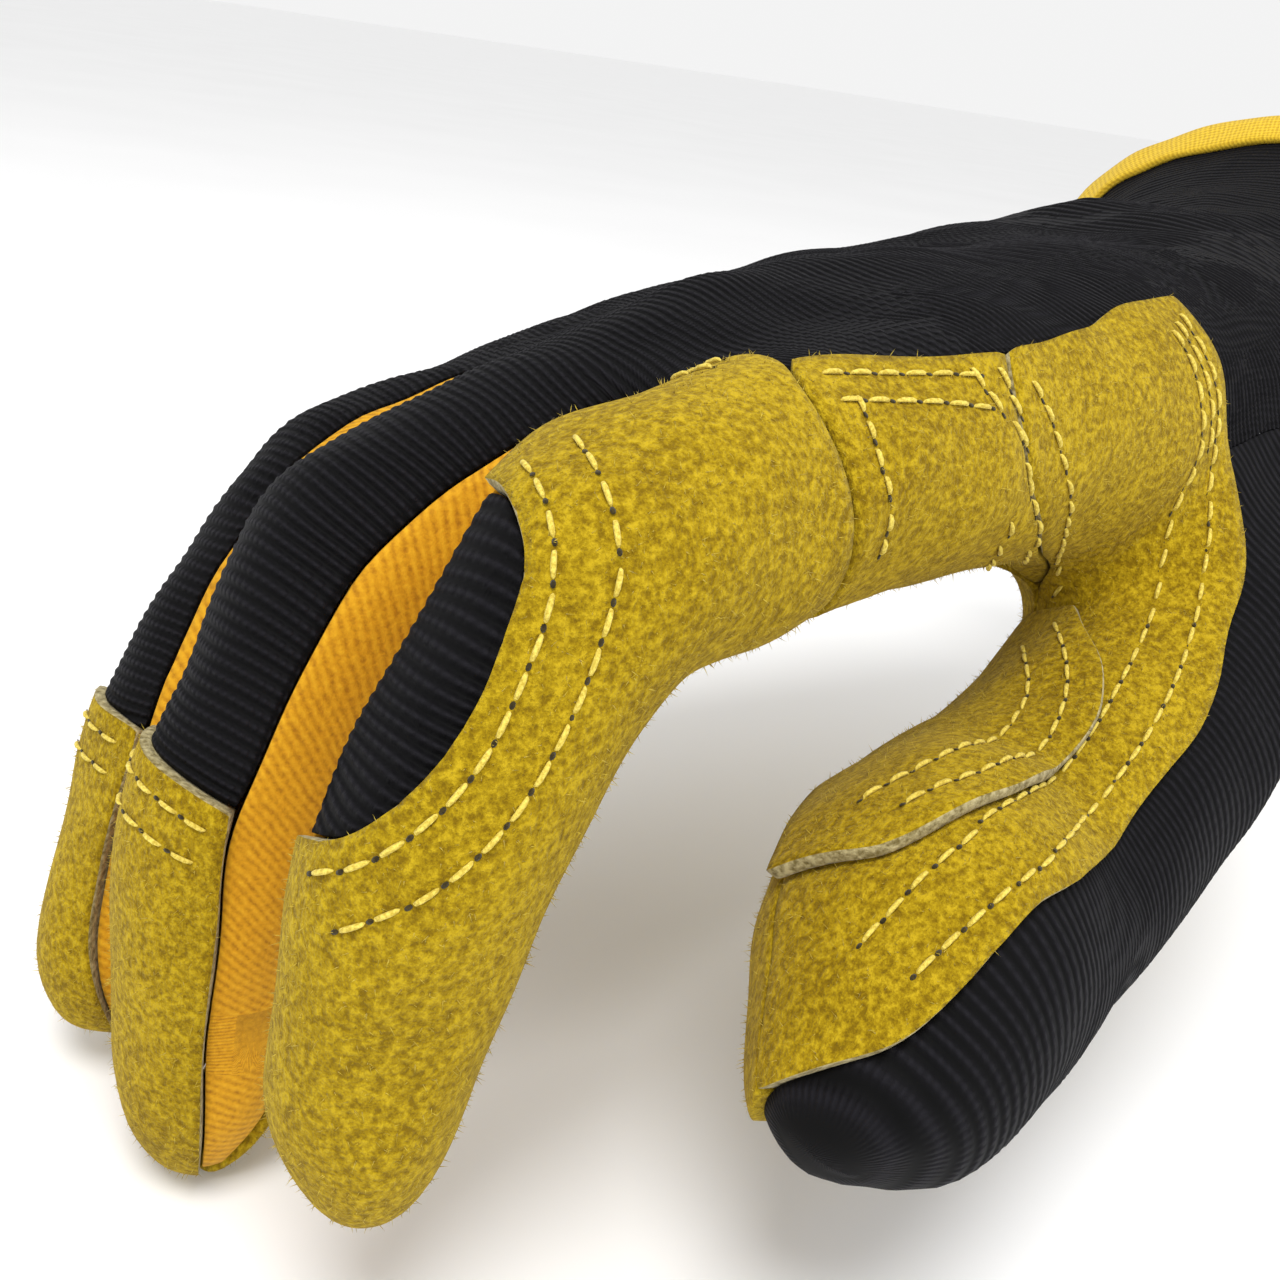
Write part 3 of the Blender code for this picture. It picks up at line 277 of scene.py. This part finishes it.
def ramp(made, shader, value, stops):
    """Colours the shader by a value, with a colour at each stop."""
    colours = node(made, "ShaderNodeValToRGB")
    band = colours.color_ramp
    while len(band.elements) < len(stops):
        band.elements.new(0.5)
    for element, (spot, colour) in zip(band.elements, stops):
        element.position = spot
        element.color = (*colour, 1)
    link(made, value, colours.inputs["Fac"])
    link(made, colours.outputs["Color"], shader.inputs["Base Color"])


def bump(made, shader, height, distance):
    """Relief from a height, its depth in metres."""
    relief = node(made, "ShaderNodeBump")
    relief.inputs["Distance"].default_value = distance
    link(made, height, relief.inputs["Height"])
    link(made, relief.outputs["Normal"], shader.inputs["Normal"])


def weave(made):
    """The two coordinates along and round the limb, in millimetres."""
    place = node(made, "ShaderNodeUVMap", uv_map="weave")
    split = node(made, "ShaderNodeSeparateXYZ")
    link(made, place.outputs["UV"], split.inputs["Vector"])
    return split.outputs["X"], split.outputs["Y"]


def wave(made, value, pitch):
    return number(made, "SINE", number(made, "MULTIPLY", value, 2*pi/pitch))


def ridges(made, value, pitch):
    """A wave between 0 and 1."""
    return number(made, "ADD", number(made, "MULTIPLY", wave(made, value, pitch), 0.5), 0.5)


def suede(name, dark, middle, light, depth):
    made, shader = paint(name, 0.95, 0.18, (1.0, 0.82, 0.30, 1), 0.10)
    clumps = noise(made, 1250, 3.0, 0.70)
    broad = noise(made, 70, 3.0, 0.6)
    hairs = noise(made, 2900, 2.0, 0.6, (1, 1, 0.45))
    # The suede's tone differs at random in clumps, and the same clumps make the relief, so its pits are darker:
    # that darkening is painted shade.
    tone = mixed(made, (clumps, 0.82), (broad, 0.18))
    ramp(made, shader, tone, [(0.38, dark), (0.50, middle), (0.62, light)])
    bump(made, shader, mixed(made, (clumps, 0.65), (hairs, 0.35)), depth)
    return made


def ribbed(name, pitch, cross, depth):
    made, shader = paint(name, 0.72, 0.006, (0.7, 0.7, 0.9, 1), 0.11)
    along, round_it = weave(made)
    ribs = ridges(made, along, pitch)
    lift = mixed(made, (ridges(made, round_it, cross), 0.45), (noise(made, 3000, 2.0), 0.40))
    height = mixed(made, (ribs, 0.45), (lift, ribs))
    # Painted light: the colour follows the rib height, with painted shade in the rib valleys and painted highlights
    # on the rib tops and beads, over the ribs' real relief.
    tone = mixed(made, (ribs, 0.5), (height, 0.35))
    ramp(made, shader, tone, [(0.0, (.0003, .0003, .0004)), (0.55, (.0026, .0023, .0033)),
                              (1.0, (.0105, .0098, .0130))])
    bump(made, shader, height, depth)
    return made


def twill():
    made, shader = paint("golden_twill", 0.8, 0.15, (1.0, 0.8, 0.3, 1), 0.2)
    along, round_it = weave(made)
    slant = mixed(made, (along, 0.8), (round_it, 0.6), (noise(made, 260, 2.0), 0.6))
    height = mixed(made, (ridges(made, slant, 0.80), 0.22), (noise(made, 1700, 3.0, 0.65), 0.78))
    ramp(made, shader, height, [(0.25, (.36, .15, .003)), (0.5, (.58, .275, .006)), (0.8, (.72, .385, .014))])
    bump(made, shader, height, 0.00014)
    return made


def tape():
    made, shader = paint("yellow_tape", 0.75, 0.1, (1.0, 0.9, 0.4, 1), 0.25)
    along, round_it = weave(made)
    grain = number(made, "ADD", wave(made, along, 0.7), wave(made, round_it, 0.7))
    height = number(made, "ADD", number(made, "MULTIPLY", grain, 0.2), noise(made, 1800, 2.0))
    ramp(made, shader, height, [(0.2, (.50, .30, .008)), (0.7, (.72, .48, .025))])
    bump(made, shader, height, 0.00012)
    return made


def plain_grain(name, dark, light, scale, depth, roughness):
    made, shader = paint(name, roughness, 0.1)
    grain = noise(made, scale, 3.0, 0.6)
    ramp(made, shader, grain, [(0.35, dark), (0.65, light)])
    bump(made, shader, grain, depth)
    return made


# The suede's darker colours fall partly in the relief's pits, as painted shade; the rest is its random tone.
SUEDE = suede("yellow_split_suede", (.180, .108, .0018), (.310, .202, .0034), (.470, .322, .0100), 0.00060)
RAW_EDGE = plain_grain("raw_leather_edge", (.16, .12, .035), (.46, .39, .20), 1500, 0.0003, 0.95)
# Both black cloths carry painted shade in their rib valleys and painted highlights on their rib tops.
RIBS = ribbed("black_ribbed_cloth", RIB_PITCH, 0.75, 0.00034)
THUMB_CLOTH = ribbed("black_beaded_cloth", THUMB_PITCH, 1.05, 0.00022)
TWILL = twill()
TAPE = tape()
THREAD = plain_grain("yellow_thread", (.50, .36, .03), (.82, .66, .12), 3500, 0.00012, 0.7)
# The needle holes' dark colour is painted shade: a dark lens stands for the shadow inside each hole.
HOLE_SHADE = plain_grain("needle_hole_shade", (.018, .012, .002), (.05, .035, .006), 2500, 0.0001, 0.95)
NAP = plain_grain("suede_fibres", (.36, .24, .010), (.66, .50, .06), 900, 0.0001, 0.95)

# What each piece is made of: outside, cut edge, slot in the record, sharpness of its edges
PIECES = {
    "back_panel": (RIBS, RIBS, "black_ribbed_fabric", 0.55),
    "index_back": (RIBS, RIBS, "black_ribbed_fabric", 0.55),
    "thumb_back": (THUMB_CLOTH, THUMB_CLOTH, "black_ribbed_fabric", 0.55),
    "cuff": (RIBS, RIBS, "black_ribbed_fabric", 0.7),
    "cuff_binding": (TAPE, TAPE, "yellow_binding", 0.4),
    "fourchette_index": (TWILL, TWILL, "yellow_twill", 0.6),
    "fourchette_middle": (TWILL, TWILL, "yellow_twill", 0.6),
    "fourchette_ring": (TWILL, TWILL, "yellow_twill", 0.6),
    "palm_panel": (SUEDE, SUEDE, "yellow_suede", 0.8),
    "index_wrap": (SUEDE, RAW_EDGE, "yellow_suede", 0.85),
    "index_base": (SUEDE, SUEDE, "yellow_suede", 0.85),
    "thumb_panel": (SUEDE, RAW_EDGE, "yellow_suede", 0.85),
    "thumb_saddle": (SUEDE, RAW_EDGE, "yellow_suede", 0.85),
    "thumb_front": (SUEDE, SUEDE, "yellow_suede", 0.8),
    "middle_cap": (SUEDE, RAW_EDGE, "yellow_suede", 0.85),
    "ring_cap": (SUEDE, RAW_EDGE, "yellow_suede", 0.85),
    "little_cap": (SUEDE, RAW_EDGE, "yellow_suede", 0.85),
}


# The run of the ribs

class Guide:
    """A limb's middle line, to tell how far along it and round it a point lies."""

    def __init__(self, knots):
        path = [np.array(knot, float) for knot in knots]
        for _ in range(3):
            cut = [path[0]]
            for a, b in zip(path[:-1], path[1:]):
                cut += [.75*a + .25*b, .25*a + .75*b]
            path = cut + [path[-1]]
        path = np.array(path)
        self.start = path[:-1, :3]
        self.steps = np.diff(path[:, :3], axis=0)
        self.length = np.linalg.norm(self.steps, axis=1)
        self.radius = path[:, 3]
        self.marks = np.concatenate([[0], np.cumsum(self.length)])
        self.low = np.full(len(self.length), SEGMENT_REACH[0])
        self.high = np.full(len(self.length), SEGMENT_REACH[1])
        self.low[0] = LINE_REACH[0]
        self.high[-1] = LINE_REACH[1]

    def measure(self, points):
        """For each point its distance from the limb, and its places along and round it."""
        rel = points[:, None] - self.start[None]
        t = np.einsum("mnk,nk->mn", rel, self.steps)/self.length**2
        held = np.clip(t, 0, 1)
        off = rel - held[..., None]*self.steps[None]
        gap = np.linalg.norm(off, axis=2) - self.radius[:-1]
        k = np.argmin(gap, axis=1)
        i = np.arange(len(points))
        nearest = gap[i, k]
        weight = np.exp(-(gap - nearest[:, None])/SEGMENT_BLEND)
        weight = weight/weight.sum(axis=1)[:, None]
        loose = self.marks[:-1] + np.clip(t, self.low, self.high)*self.length
        run = self.steps[k]/self.length[k][:, None]
        side = unit(np.cross(run, [0, 0, 1.0]), .2)
        up = np.cross(side, run)
        angle = np.arctan2((off[i, k]*side).sum(1), (off[i, k]*up).sum(1))
        return nearest, (loose*weight).sum(axis=1), angle*LIMB_RADIUS


GUIDES = {name: Guide(knots) for name, knots in LIMB_LINES.items()}


def chart(name, points):
    """Coordinates along and round the nearest limb, evened out between neighbouring limbs."""
    if name.startswith("cuff"):
        middle = points.mean(axis=0)
        angle = np.arctan2(points[:, 2] - middle[2], points[:, 1] - middle[1])
        return points[:, 0], angle*CUFF_RADIUS
    limbs = ("thumb",) if name.startswith("thumb") else FINGERS
    found = [GUIDES[limb].measure(points) for limb in limbs]
    gaps = np.array([row[0] for row in found])
    weight = np.exp(-np.clip(gaps - gaps.min(axis=0), 0, FAR_LIMB)/LIMB_BLEND)
    weight = weight/weight.sum(axis=0)
    along = (np.array([row[1] for row in found])*weight).sum(axis=0)
    along = along + DRIFT*np.sin(.11*points[:, 1] + .07*points[:, 2])
    round_it = np.array([row[2] for row in found])[np.argmin(gaps, axis=0), np.arange(len(points))]
    return along, round_it


def outer_gap(points):
    return np.min([guide.measure(points)[0] for guide in GUIDES.values()], axis=0)


# Sorting a wall's faces

def cut_edges(mesh):
    """EDGE for each face of the cut edge, which is bent sharply on two opposite sides, and OUTSIDE for the rest."""
    bent = {edge: edge.calc_face_angle(0) for edge in mesh.edges}
    sort = [OUTSIDE]*len(mesh.faces)
    for face in mesh.faces:
        turns = [bent[edge] for edge in face.edges]
        if len(turns) == 4 and (min(turns[0], turns[2]) > SHARP or min(turns[1], turns[3]) > SHARP):
            sort[face.index] = EDGE
    for _ in range(3):
        for face in mesh.faces:
            if len(face.verts) == 4 or sort[face.index] == EDGE:
                continue
            smooth = [other for edge in face.edges for other in edge.link_faces if bent[edge] < SMOOTH]
            if max(bent[edge] for edge in face.edges) > SHARP and any(sort[other.index] for other in smooth):
                sort[face.index] = EDGE
    return sort


def smooth_groups(mesh, sort):
    """The faces off the cut edge, in groups that join smoothly."""
    taken = [kind == EDGE for kind in sort]
    groups = []
    for seed in mesh.faces:
        if taken[seed.index]:
            continue
        taken[seed.index] = True
        stack = [seed]
        found = []
        while stack:
            face = stack.pop()
            found.append(face)
            for edge in face.edges:
                for other in edge.link_faces:
                    if not taken[other.index] and face.normal.dot(other.normal) > SAME_SHEET:
                        taken[other.index] = True
                        stack.append(other)
        groups.append(found)
    return groups


def sheets(mesh):
    """The kind of each face of a closed wall: its outside, its cut edge or its inside."""
    sort = cut_edges(mesh)
    for found in smooth_groups(mesh, sort):
        middles = np.array([face.calc_center_median() for face in found])/MM
        ways = np.array([face.normal for face in found])
        facing = outer_gap(middles + ways) - outer_gap(middles - ways)
        kind = INSIDE if facing.mean() < 0 else OUTSIDE
        if len(found) < FEWEST:
            kind = EDGE
        for face in found:
            sort[face.index] = kind
    return sort


# Dressing a CAD piece

def swell(x, y, z, pairs):
    """For each direction, two sine waves times each other."""
    return np.stack([np.prod([np.sin(a*x + b*y + c*z + phase) for a, b, c, phase in pair], axis=0)
                     for pair in pairs], -1)


def slack(points):
    """A gentle shift of all the cloth together: broad bulges everywhere, tighter folds at the wrist."""
    x, y, z = points.T/MM
    move = swell(x, y, z, BULGES) + RIPPLE_SHARE*swell(x, y, z, RIPPLES)
    near = np.exp(-((x - WRIST[0])/WRIST_REACH)**2)[:, None]
    run = FOLD_WAVE*x
    for height, b, c, phase in FOLD_BENDS:
        run = run + height*np.sin(b*y + c*z + phase)
    folds = (np.sin(run)*(FOLD_EVEN + FOLD_UNEVEN*np.sin(.13*y - .1*z)))[:, None]
    out = unit(np.stack([0*x, y - WRIST[1], z - WRIST[2]], -1), 1)
    return points + MM*(SLACK*move + WRIST_SLACK*near*folds*out)


def corrugate(data, cuts, pitch, height):
    """Cuts a cloth's outside finely along its length and raises its ribs."""
    mesh = bmesh.new()
    mesh.from_mesh(data)
    layer = mesh.loops.layers.uv["weave"]
    sheet = mesh.faces.layers.int["sheet"]
    crossing = []
    for edge in mesh.edges:
        loops = [loop for loop in edge.link_loops if loop.face[sheet] == OUTSIDE]
        if not loops:
            continue
        rise = abs(loops[0][layer].uv.x - loops[0].link_loop_next[layer].uv.x)
        if rise > CROSSING*edge.calc_length()/MM:
            crossing.append(edge)
    bmesh.ops.subdivide_edges(mesh, edges=crossing, cuts=cuts, use_grid_fill=True)
    mesh.normal_update()
    lifts = []
    for vert in mesh.verts:
        for loop in vert.link_loops:
            if loop.face[sheet] == OUTSIDE:
                ridge = .5 + .5*sin(2*pi*loop[layer].uv.x/pitch)
                lifts.append((vert, vert.normal*height*ridge*MM))
                break
    for vert, lift in lifts:
        vert.co += lift
    mesh.to_mesh(data)
    mesh.free()
    data.update()


def mark_creases(mesh, sort, crisp):
    crease = mesh.edges.layers.float.new("crease_edge")
    for edge in mesh.edges:
        kinds = {sort[face.index] for face in edge.link_faces}
        if len(kinds) > 1:
            edge[crease] = crisp
        elif kinds == {EDGE} and edge.calc_face_angle(0) > HARD:
            edge[crease] = HARD_CREASE


def fill_seams(mesh, name, sort):
    """Moves a cloth's cut edge out, so that neighbours meet along their seam."""
    moves = {}
    for face in mesh.faces:
        if sort[face.index] == EDGE:
            for vert in face.verts:
                moves[vert] = moves.get(vert, Vector((0, 0, 0))) + face.normal
    for vert, move in moves.items():
        vert.co += move.normalized()*OPEN_SEAMS.get(name, SPREAD)*MM


def lay_weave(mesh, name, sort):
    """Gives each face its material and its weave coordinates, without a jump where the angle starts anew."""
    layer = mesh.loops.layers.uv.new("weave")
    along, round_it = chart(name, np.array([vert.co for vert in mesh.verts])/MM)
    whole = 2*pi*(CUFF_RADIUS if name.startswith("cuff") else LIMB_RADIUS)
    for face in mesh.faces:
        face.material_index = int(sort[face.index] == EDGE)
        face.smooth = True
        base = round_it[face.loops[0].vert.index]
        for loop in face.loops:
            k = loop.vert.index
            turn = round_it[k]
            if turn - base > whole/2:
                turn -= whole
            elif base - turn > whole/2:
                turn += whole
            loop[layer].uv = (along[k], turn)


def spots_of(data):
    """A mesh's points, as rows."""
    spots = np.empty(len(data.vertices)*3)
    data.vertices.foreach_get("co", spots)
    return spots.reshape(-1, 3)


def kinds_of(data):
    """The kind of each of a dressed mesh's faces."""
    kinds = np.empty(len(data.polygons), np.int32)
    data.attributes["sheet"].data.foreach_get("value", kinds)
    return kinds


dressed = {}


def dress(name):
    """Makes a refined, rounded copy of a CAD piece with its materials, and keeps it for the sewing."""
    outside, edge_paint, slot, crisp = PIECES[name]
    mesh = bmesh.new()
    mesh.from_mesh(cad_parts[name].data)
    bmesh.ops.remove_doubles(mesh, verts=mesh.verts, dist=WELD*MM)
    bmesh.ops.join_triangles(mesh, faces=mesh.faces, angle_face_threshold=FLAT, angle_shape_threshold=EVEN)
    bmesh.ops.recalc_face_normals(mesh, faces=mesh.faces)
    mesh.normal_update()
    mesh.verts.ensure_lookup_table()
    mesh.faces.ensure_lookup_table()
    sort = sheets(mesh)
    mark_creases(mesh, sort, crisp)
    fill_seams(mesh, name, sort)
    lay_weave(mesh, name, sort)
    data = bpy.data.meshes.new(name + "_soft")
    mesh.to_mesh(data)
    mesh.free()
    data.materials.append(outside)
    data.materials.append(edge_paint)
    kind = data.attributes.new("sheet", "INT", "FACE")
    kind.data.foreach_set("value", np.array(sort, np.int32))
    piece = bpy.data.objects.new(name + "_soft", data)
    bpy.context.scene.collection.objects.link(piece)
    finer = piece.modifiers.new("finer", "SUBSURF")
    finer.levels = 2
    graph = bpy.context.evaluated_depsgraph_get()
    fine = bpy.data.meshes.new_from_object(piece.evaluated_get(graph))
    piece.modifiers.clear()
    fine.vertices.foreach_set("co", slack(spots_of(fine)).ravel())
    fine.update()
    if name in RIBBED:
        corrugate(fine, *RIBBED[name])
    piece.data = fine
    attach(piece, "root")
    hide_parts(name)
    dressed[name] = piece


for piece_name in PIECES:
    dress(piece_name)


# Sewing

def outside_of(name):
    """A dressed piece's points, its outer faces, and each rim point's neighbours on the rim."""
    data = dressed[name].data
    faces = [tuple(data.polygons[k].vertices) for k in np.where(kinds_of(data) == OUTSIDE)[0]]
    count = {}
    for face in faces:
        for a, b in zip(face, face[1:] + face[:1]):
            key = (min(a, b), max(a, b))
            count[key] = count.get(key, 0) + 1
    ring = {}
    for (a, b), times in count.items():
        if times == 1:
            ring.setdefault(a, []).append(b)
            ring.setdefault(b, []).append(a)
    return spots_of(data), faces, ring


def rim_path(spots, ring, first, last, via):
    """The rim's points from near first to near last, the shorter way or past via, or None if it isn't joined."""
    keys = np.array(list(ring))

    def nearest(point):
        return int(keys[np.argmin(np.linalg.norm(spots[keys] - at(point), axis=1))])

    def length(way):
        return np.linalg.norm(np.diff(way, axis=0), axis=1).sum()

    def miss(way):
        return np.linalg.norm(way - at(via), axis=1).min()

    begin = nearest(first)
    goal = nearest(last)
    ways = []
    for step in ring[begin]:
        chain = [begin, step]
        while chain[-1] != goal and len(chain) < LONGEST_RIM:
            onward = [k for k in ring[chain[-1]] if k != chain[-2]]
            if not onward or onward[0] == begin:
                break
            chain.append(onward[0])
        if chain[-1] == goal:
            ways.append(np.array([spots[k] for k in chain]))
    return min(ways, key=miss if via else length, default=None)


def resample(path, pitch, ends):
    steps = np.linalg.norm(np.diff(path, axis=0), axis=1)
    run = np.concatenate([[0], np.cumsum(steps)])
    places = np.arange(ends, run[-1] - ends, pitch)
    return np.stack([np.interp(places, run, path[:, k]) for k in range(3)], -1)


def soften(path, rounds):
    path = path.copy()
    for _ in range(rounds):
        path[1:-1] = .5*path[1:-1] + .25*(path[:-2] + path[2:])
    return path


def bar(middle, run, out, length, thick):
    """A short round bar of thread, dipping into the leather at both ends."""
    across = np.cross(run, out)
    rows = []
    for share, width, rise in BAR:
        centre = middle + run*length*share + out*thick*rise
        for turn in BAR_TURNS:
            rows.append(centre + .5*thick*width*(cos(turn)*across + sin(turn)*out))
    sides = len(BAR_TURNS)
    faces = []
    for start in range(0, len(rows) - sides, sides):
        for k in range(sides):
            a = start + k
            b = start + (k + 1) % sides
            faces.append((a, b, b + sides, a + sides))
    faces.append(tuple(range(sides - 1, -1, -1)))
    faces.append(tuple(range(len(rows) - sides, len(rows))))
    return np.array(rows), faces


def pit(middle, run, out, size):
    """A small needle hole, as a low closed lens on the leather, coloured dark as painted shade for the inside of
    the hole.
    """
    across = np.cross(run, out)
    long, broad = HOLE_STRETCH
    rows = [middle + out*HOLE_TOP*MM, middle + out*HOLE_BOTTOM*MM]
    for turn in HOLE_TURNS:
        rows.append(middle + size*(cos(turn)*run*long + sin(turn)*across*broad) + out*HOLE_RIM*MM)
    sides = len(HOLE_TURNS)
    faces = [(0, 2 + k, 2 + (k + 1) % sides) for k in range(sides)]
    faces += [(1, 2 + (k + 1) % sides, 2 + k) for k in range(sides)]
    return np.array(rows), faces


def into_cloth(rim, tree):
    """At each point of the rim, the way from it into the cloth."""
    outs = soften(np.array([tree.find_nearest(Vector(point))[1] for point in rim]), RIM_ROUNDS)
    inward = np.cross(outs, unit(np.gradient(rim, axis=0), 1e-9))
    there = np.mean([tree.find_nearest(Vector(point))[3] for point in rim + PROBE*MM*inward])
    back = np.mean([tree.find_nearest(Vector(point))[3] for point in rim - PROBE*MM*inward])
    return -inward if there > back else inward


def inset_row(rim, inward, tree, inset):
    """A smooth line on the cloth that keeps its inset from the rim."""
    hops = max(1, int(inset))
    step = inset/hops
    row = []
    for spot, way in zip(rim, inward):
        for _ in range(hops):
            hit = tree.find_nearest(Vector(spot + way*step*MM))
            spot = np.array(hit[0])
            out = np.array(hit[1])
            way = way - out*(way@out)
            way = way/max(np.linalg.norm(way), 1e-9)
        row.append(spot)
    row = soften(np.array(row), ROW_ROUNDS)
    for _ in range(2):
        for k, spot in enumerate(row):
            away = spot - rim[np.argmin(np.linalg.norm(rim - spot, axis=1))]
            far = np.linalg.norm(away)
            if far < TOO_NEAR*inset*MM:
                way = inward[k] if far < LOST*inset*MM else away/far
                row[k] = spot + way*(inset*MM - far)
        row = soften(row, HELD_ROUNDS)
    return row


thread_parts = []
hole_parts = []


def sew(name, first, last, insets, via=None, pitch=STITCH_PITCH, bare=BARE_END):
    """Rows of stitches beside a piece's rim, each at its own inset."""
    spots, faces, ring = outside_of(name)
    rim = rim_path(spots, ring, first, last, via)
    if rim is None:
        return
    tree = BVHTree.FromPolygons([Vector(point) for point in spots], faces)
    rim = soften(rim, RIM_ROUNDS)
    inward = into_cloth(rim, tree)
    for inset in insets:
        row = resample(inset_row(rim, inward, tree, inset), pitch*MM, bare*MM)
        for a, b in zip(row[:-1], row[1:]):
            run = b - a
            length = np.linalg.norm(run)
            if length < SHORTEST*pitch*MM:
                continue
            run = run/length
            hit = tree.find_nearest(Vector(.5*(a + b)))
            spot = np.array(hit[0])
            out = np.array(hit[1])
            run = run - out*(run@out)
            run = run/np.linalg.norm(run)
            thread_parts.append(bar(spot, run, out, THREAD_SHARE*length, THREAD_WIDTH*MM))
            hole_parts.append(pit(spot + .5*length*run, run, out, HOLE_RADIUS*MM))


def gather_up(name, parts, material):
    """One object from many small meshes."""
    verts = []
    faces = []
    for rows, rings in parts:
        base = len(verts)
        verts += [tuple(row) for row in rows]
        faces += [tuple(base + k for k in ring) for ring in rings]
    data = bpy.data.meshes.new(name)
    data.from_pydata(verts, [], faces)
    data.polygons.foreach_set("use_smooth", [True]*len(faces))
    data.materials.append(material)
    made = bpy.data.objects.new(name, data)
    bpy.context.scene.collection.objects.link(made)
    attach(made, "root")


sew("index_wrap", WINDOW_NEAR, WINDOW_FAR, (2.6, 7.2), via=WINDOW_SIDE)
sew("index_wrap", WEB_END, WRAP_CORNER, (2.4, 5.4))
sew("index_base", WRAP_CORNER, BASE_CORNER, (2.4, 5.6))
sew("index_base", WRAP_CORNER, BASE_TURN, (3.4,), pitch=2.2, bare=4.0)
sew("index_base", BASE_CORNER, CROTCH, (2.0, 5.4))
sew("thumb_panel", BASE_CORNER, CROTCH, (2.2,), pitch=2.6)
sew("thumb_panel", PANEL_CORNER, THUMB_TIP, (3.0, 8.0), via=FORK)
sew("thumb_panel", PANEL_CORNER, FORK, (5.4,))
sew("thumb_saddle", PAD_START, PAD_END, (2.4, 6.6))
for cap, (seam_start, seam_end, seam_middle) in CAP_SEAMS.items():
    sew(cap, seam_start, seam_end, CAP_INSETS, via=seam_middle)
gather_up("stitches", thread_parts, THREAD)
# The needle holes' dark lenses are painted shade.
gather_up("needle_holes", hole_parts, HOLE_SHADE)


# Nap

def nap(names):
    """Single stray fibres standing on the suede's outside."""
    draw = np.random.default_rng(SEED)
    parts = []
    for name in names:
        data = dressed[name].data
        areas = np.empty(len(data.polygons))
        data.polygons.foreach_get("area", areas)
        picks = np.where(kinds_of(data) == OUTSIDE)[0]
        total = areas[picks].sum()
        count = int(total*1e4*FIBRES_PER_CM2)
        chosen = draw.choice(picks, size=count, p=areas[picks]/total)
        for k in chosen:
            face = data.polygons[int(k)]
            corners = [np.array(data.vertices[v].co) for v in face.vertices[:3]]
            a, b = draw.random(2)
            if a + b > 1:
                a, b = 1 - a, 1 - b
            foot = corners[0] + a*(corners[1] - corners[0]) + b*(corners[2] - corners[0])
            out = np.array(face.normal)
            lean = draw.normal(size=3)
            lean = lean - out*(lean@out)
            lean = lean/max(np.linalg.norm(lean), 1e-9)
            tilt = draw.uniform(*FIBRE_TILT)
            length = draw.uniform(*FIBRE_LENGTH)*MM
            tip = foot + length*(tilt*out + (1 - tilt)*lean)
            thick = draw.uniform(*FIBRE_WIDTH)*MM
            across = np.cross(out, lean)
            root = foot - FIBRE_ROOT*MM*out
            ring = [root + thick*(cos(turn)*across + sin(turn)*lean) for turn in FIBRE_TURNS]
            parts.append((np.array([*ring, tip]), [(0, 1, 3), (1, 2, 3), (2, 0, 3), (0, 2, 1)]))
    return parts


gather_up("suede_nap", nap([name for name in PIECES if PIECES[name][2] == "yellow_suede"]), NAP)


# Stage
FLOOR_GAP = 0.0005
FLOOR_SIZE = 40
bpy.ops.mesh.primitive_plane_add(size=FLOOR_SIZE, location=(0, 0, SIZE_BEFORE[0][2] - FLOOR_GAP))
floor = bpy.context.object
floor.name = "floor"
floor_paint, floor_shader = paint("pale_floor", 0.9, 0.0, (1, 1, 1, 1), 0.1)
ramp(floor_paint, floor_shader, noise(floor_paint, 6, 2.0), [(0.3, (.93, .93, .93)), (0.7, (.95, .95, .95))])
floor.data.materials.append(floor_paint)

world = bpy.data.worlds.new("studio")
bpy.context.scene.world = world
world.use_nodes = True
world.node_tree.nodes["Background"].inputs["Color"].default_value = (1.0, 1.0, 1.0, 1)
world.node_tree.nodes["Background"].inputs["Strength"].default_value = 0.90
bpy.context.scene.view_settings.view_transform = "Standard"


def lamp(name, place, target, size, power):
    """A round soft light; its place, target and size are in metres."""
    light = bpy.data.lights.new(name, "AREA")
    light.shape = "DISK"
    light.size = size
    light.energy = power
    made = bpy.data.objects.new(name, light)
    bpy.context.scene.collection.objects.link(made)
    made.location = place
    way = Vector(target) - Vector(place)
    made.rotation_euler = way.to_track_quat("-Z", "Y").to_euler()


lamp("key", (-0.45, -0.30, 0.80), (-0.12, -0.02, -0.02), 0.45, 6.5)
lamp("fill", (-0.10, -0.75, 0.35), (-0.12, -0.03, -0.03), 0.6, 0.8)

# Camera
ahead = np.array([cos(DOWN)*sin(AZIMUTH), cos(DOWN)*cos(AZIMUTH), -sin(DOWN)])
right = np.cross(ahead, [0, 0, 1.0])
right = right/np.linalg.norm(right)
over = np.cross(right, ahead)
right, over = cos(ROLL)*right + sin(ROLL)*over, -sin(ROLL)*right + cos(ROLL)*over
eye = at(EYE)
lens = bpy.data.cameras.new("camera")
lens.sensor_width = SENSOR
lens.lens = FOCAL_PIXELS*SENSOR/PHOTO_PIXELS
lens.clip_start = 0.01
camera = bpy.data.objects.new("camera", lens)
bpy.context.scene.collection.objects.link(camera)
camera.matrix_world = Matrix([(right[k], over[k], -ahead[k], eye[k]) for k in range(3)] + [(0, 0, 0, 1)])
bpy.context.scene.camera = camera
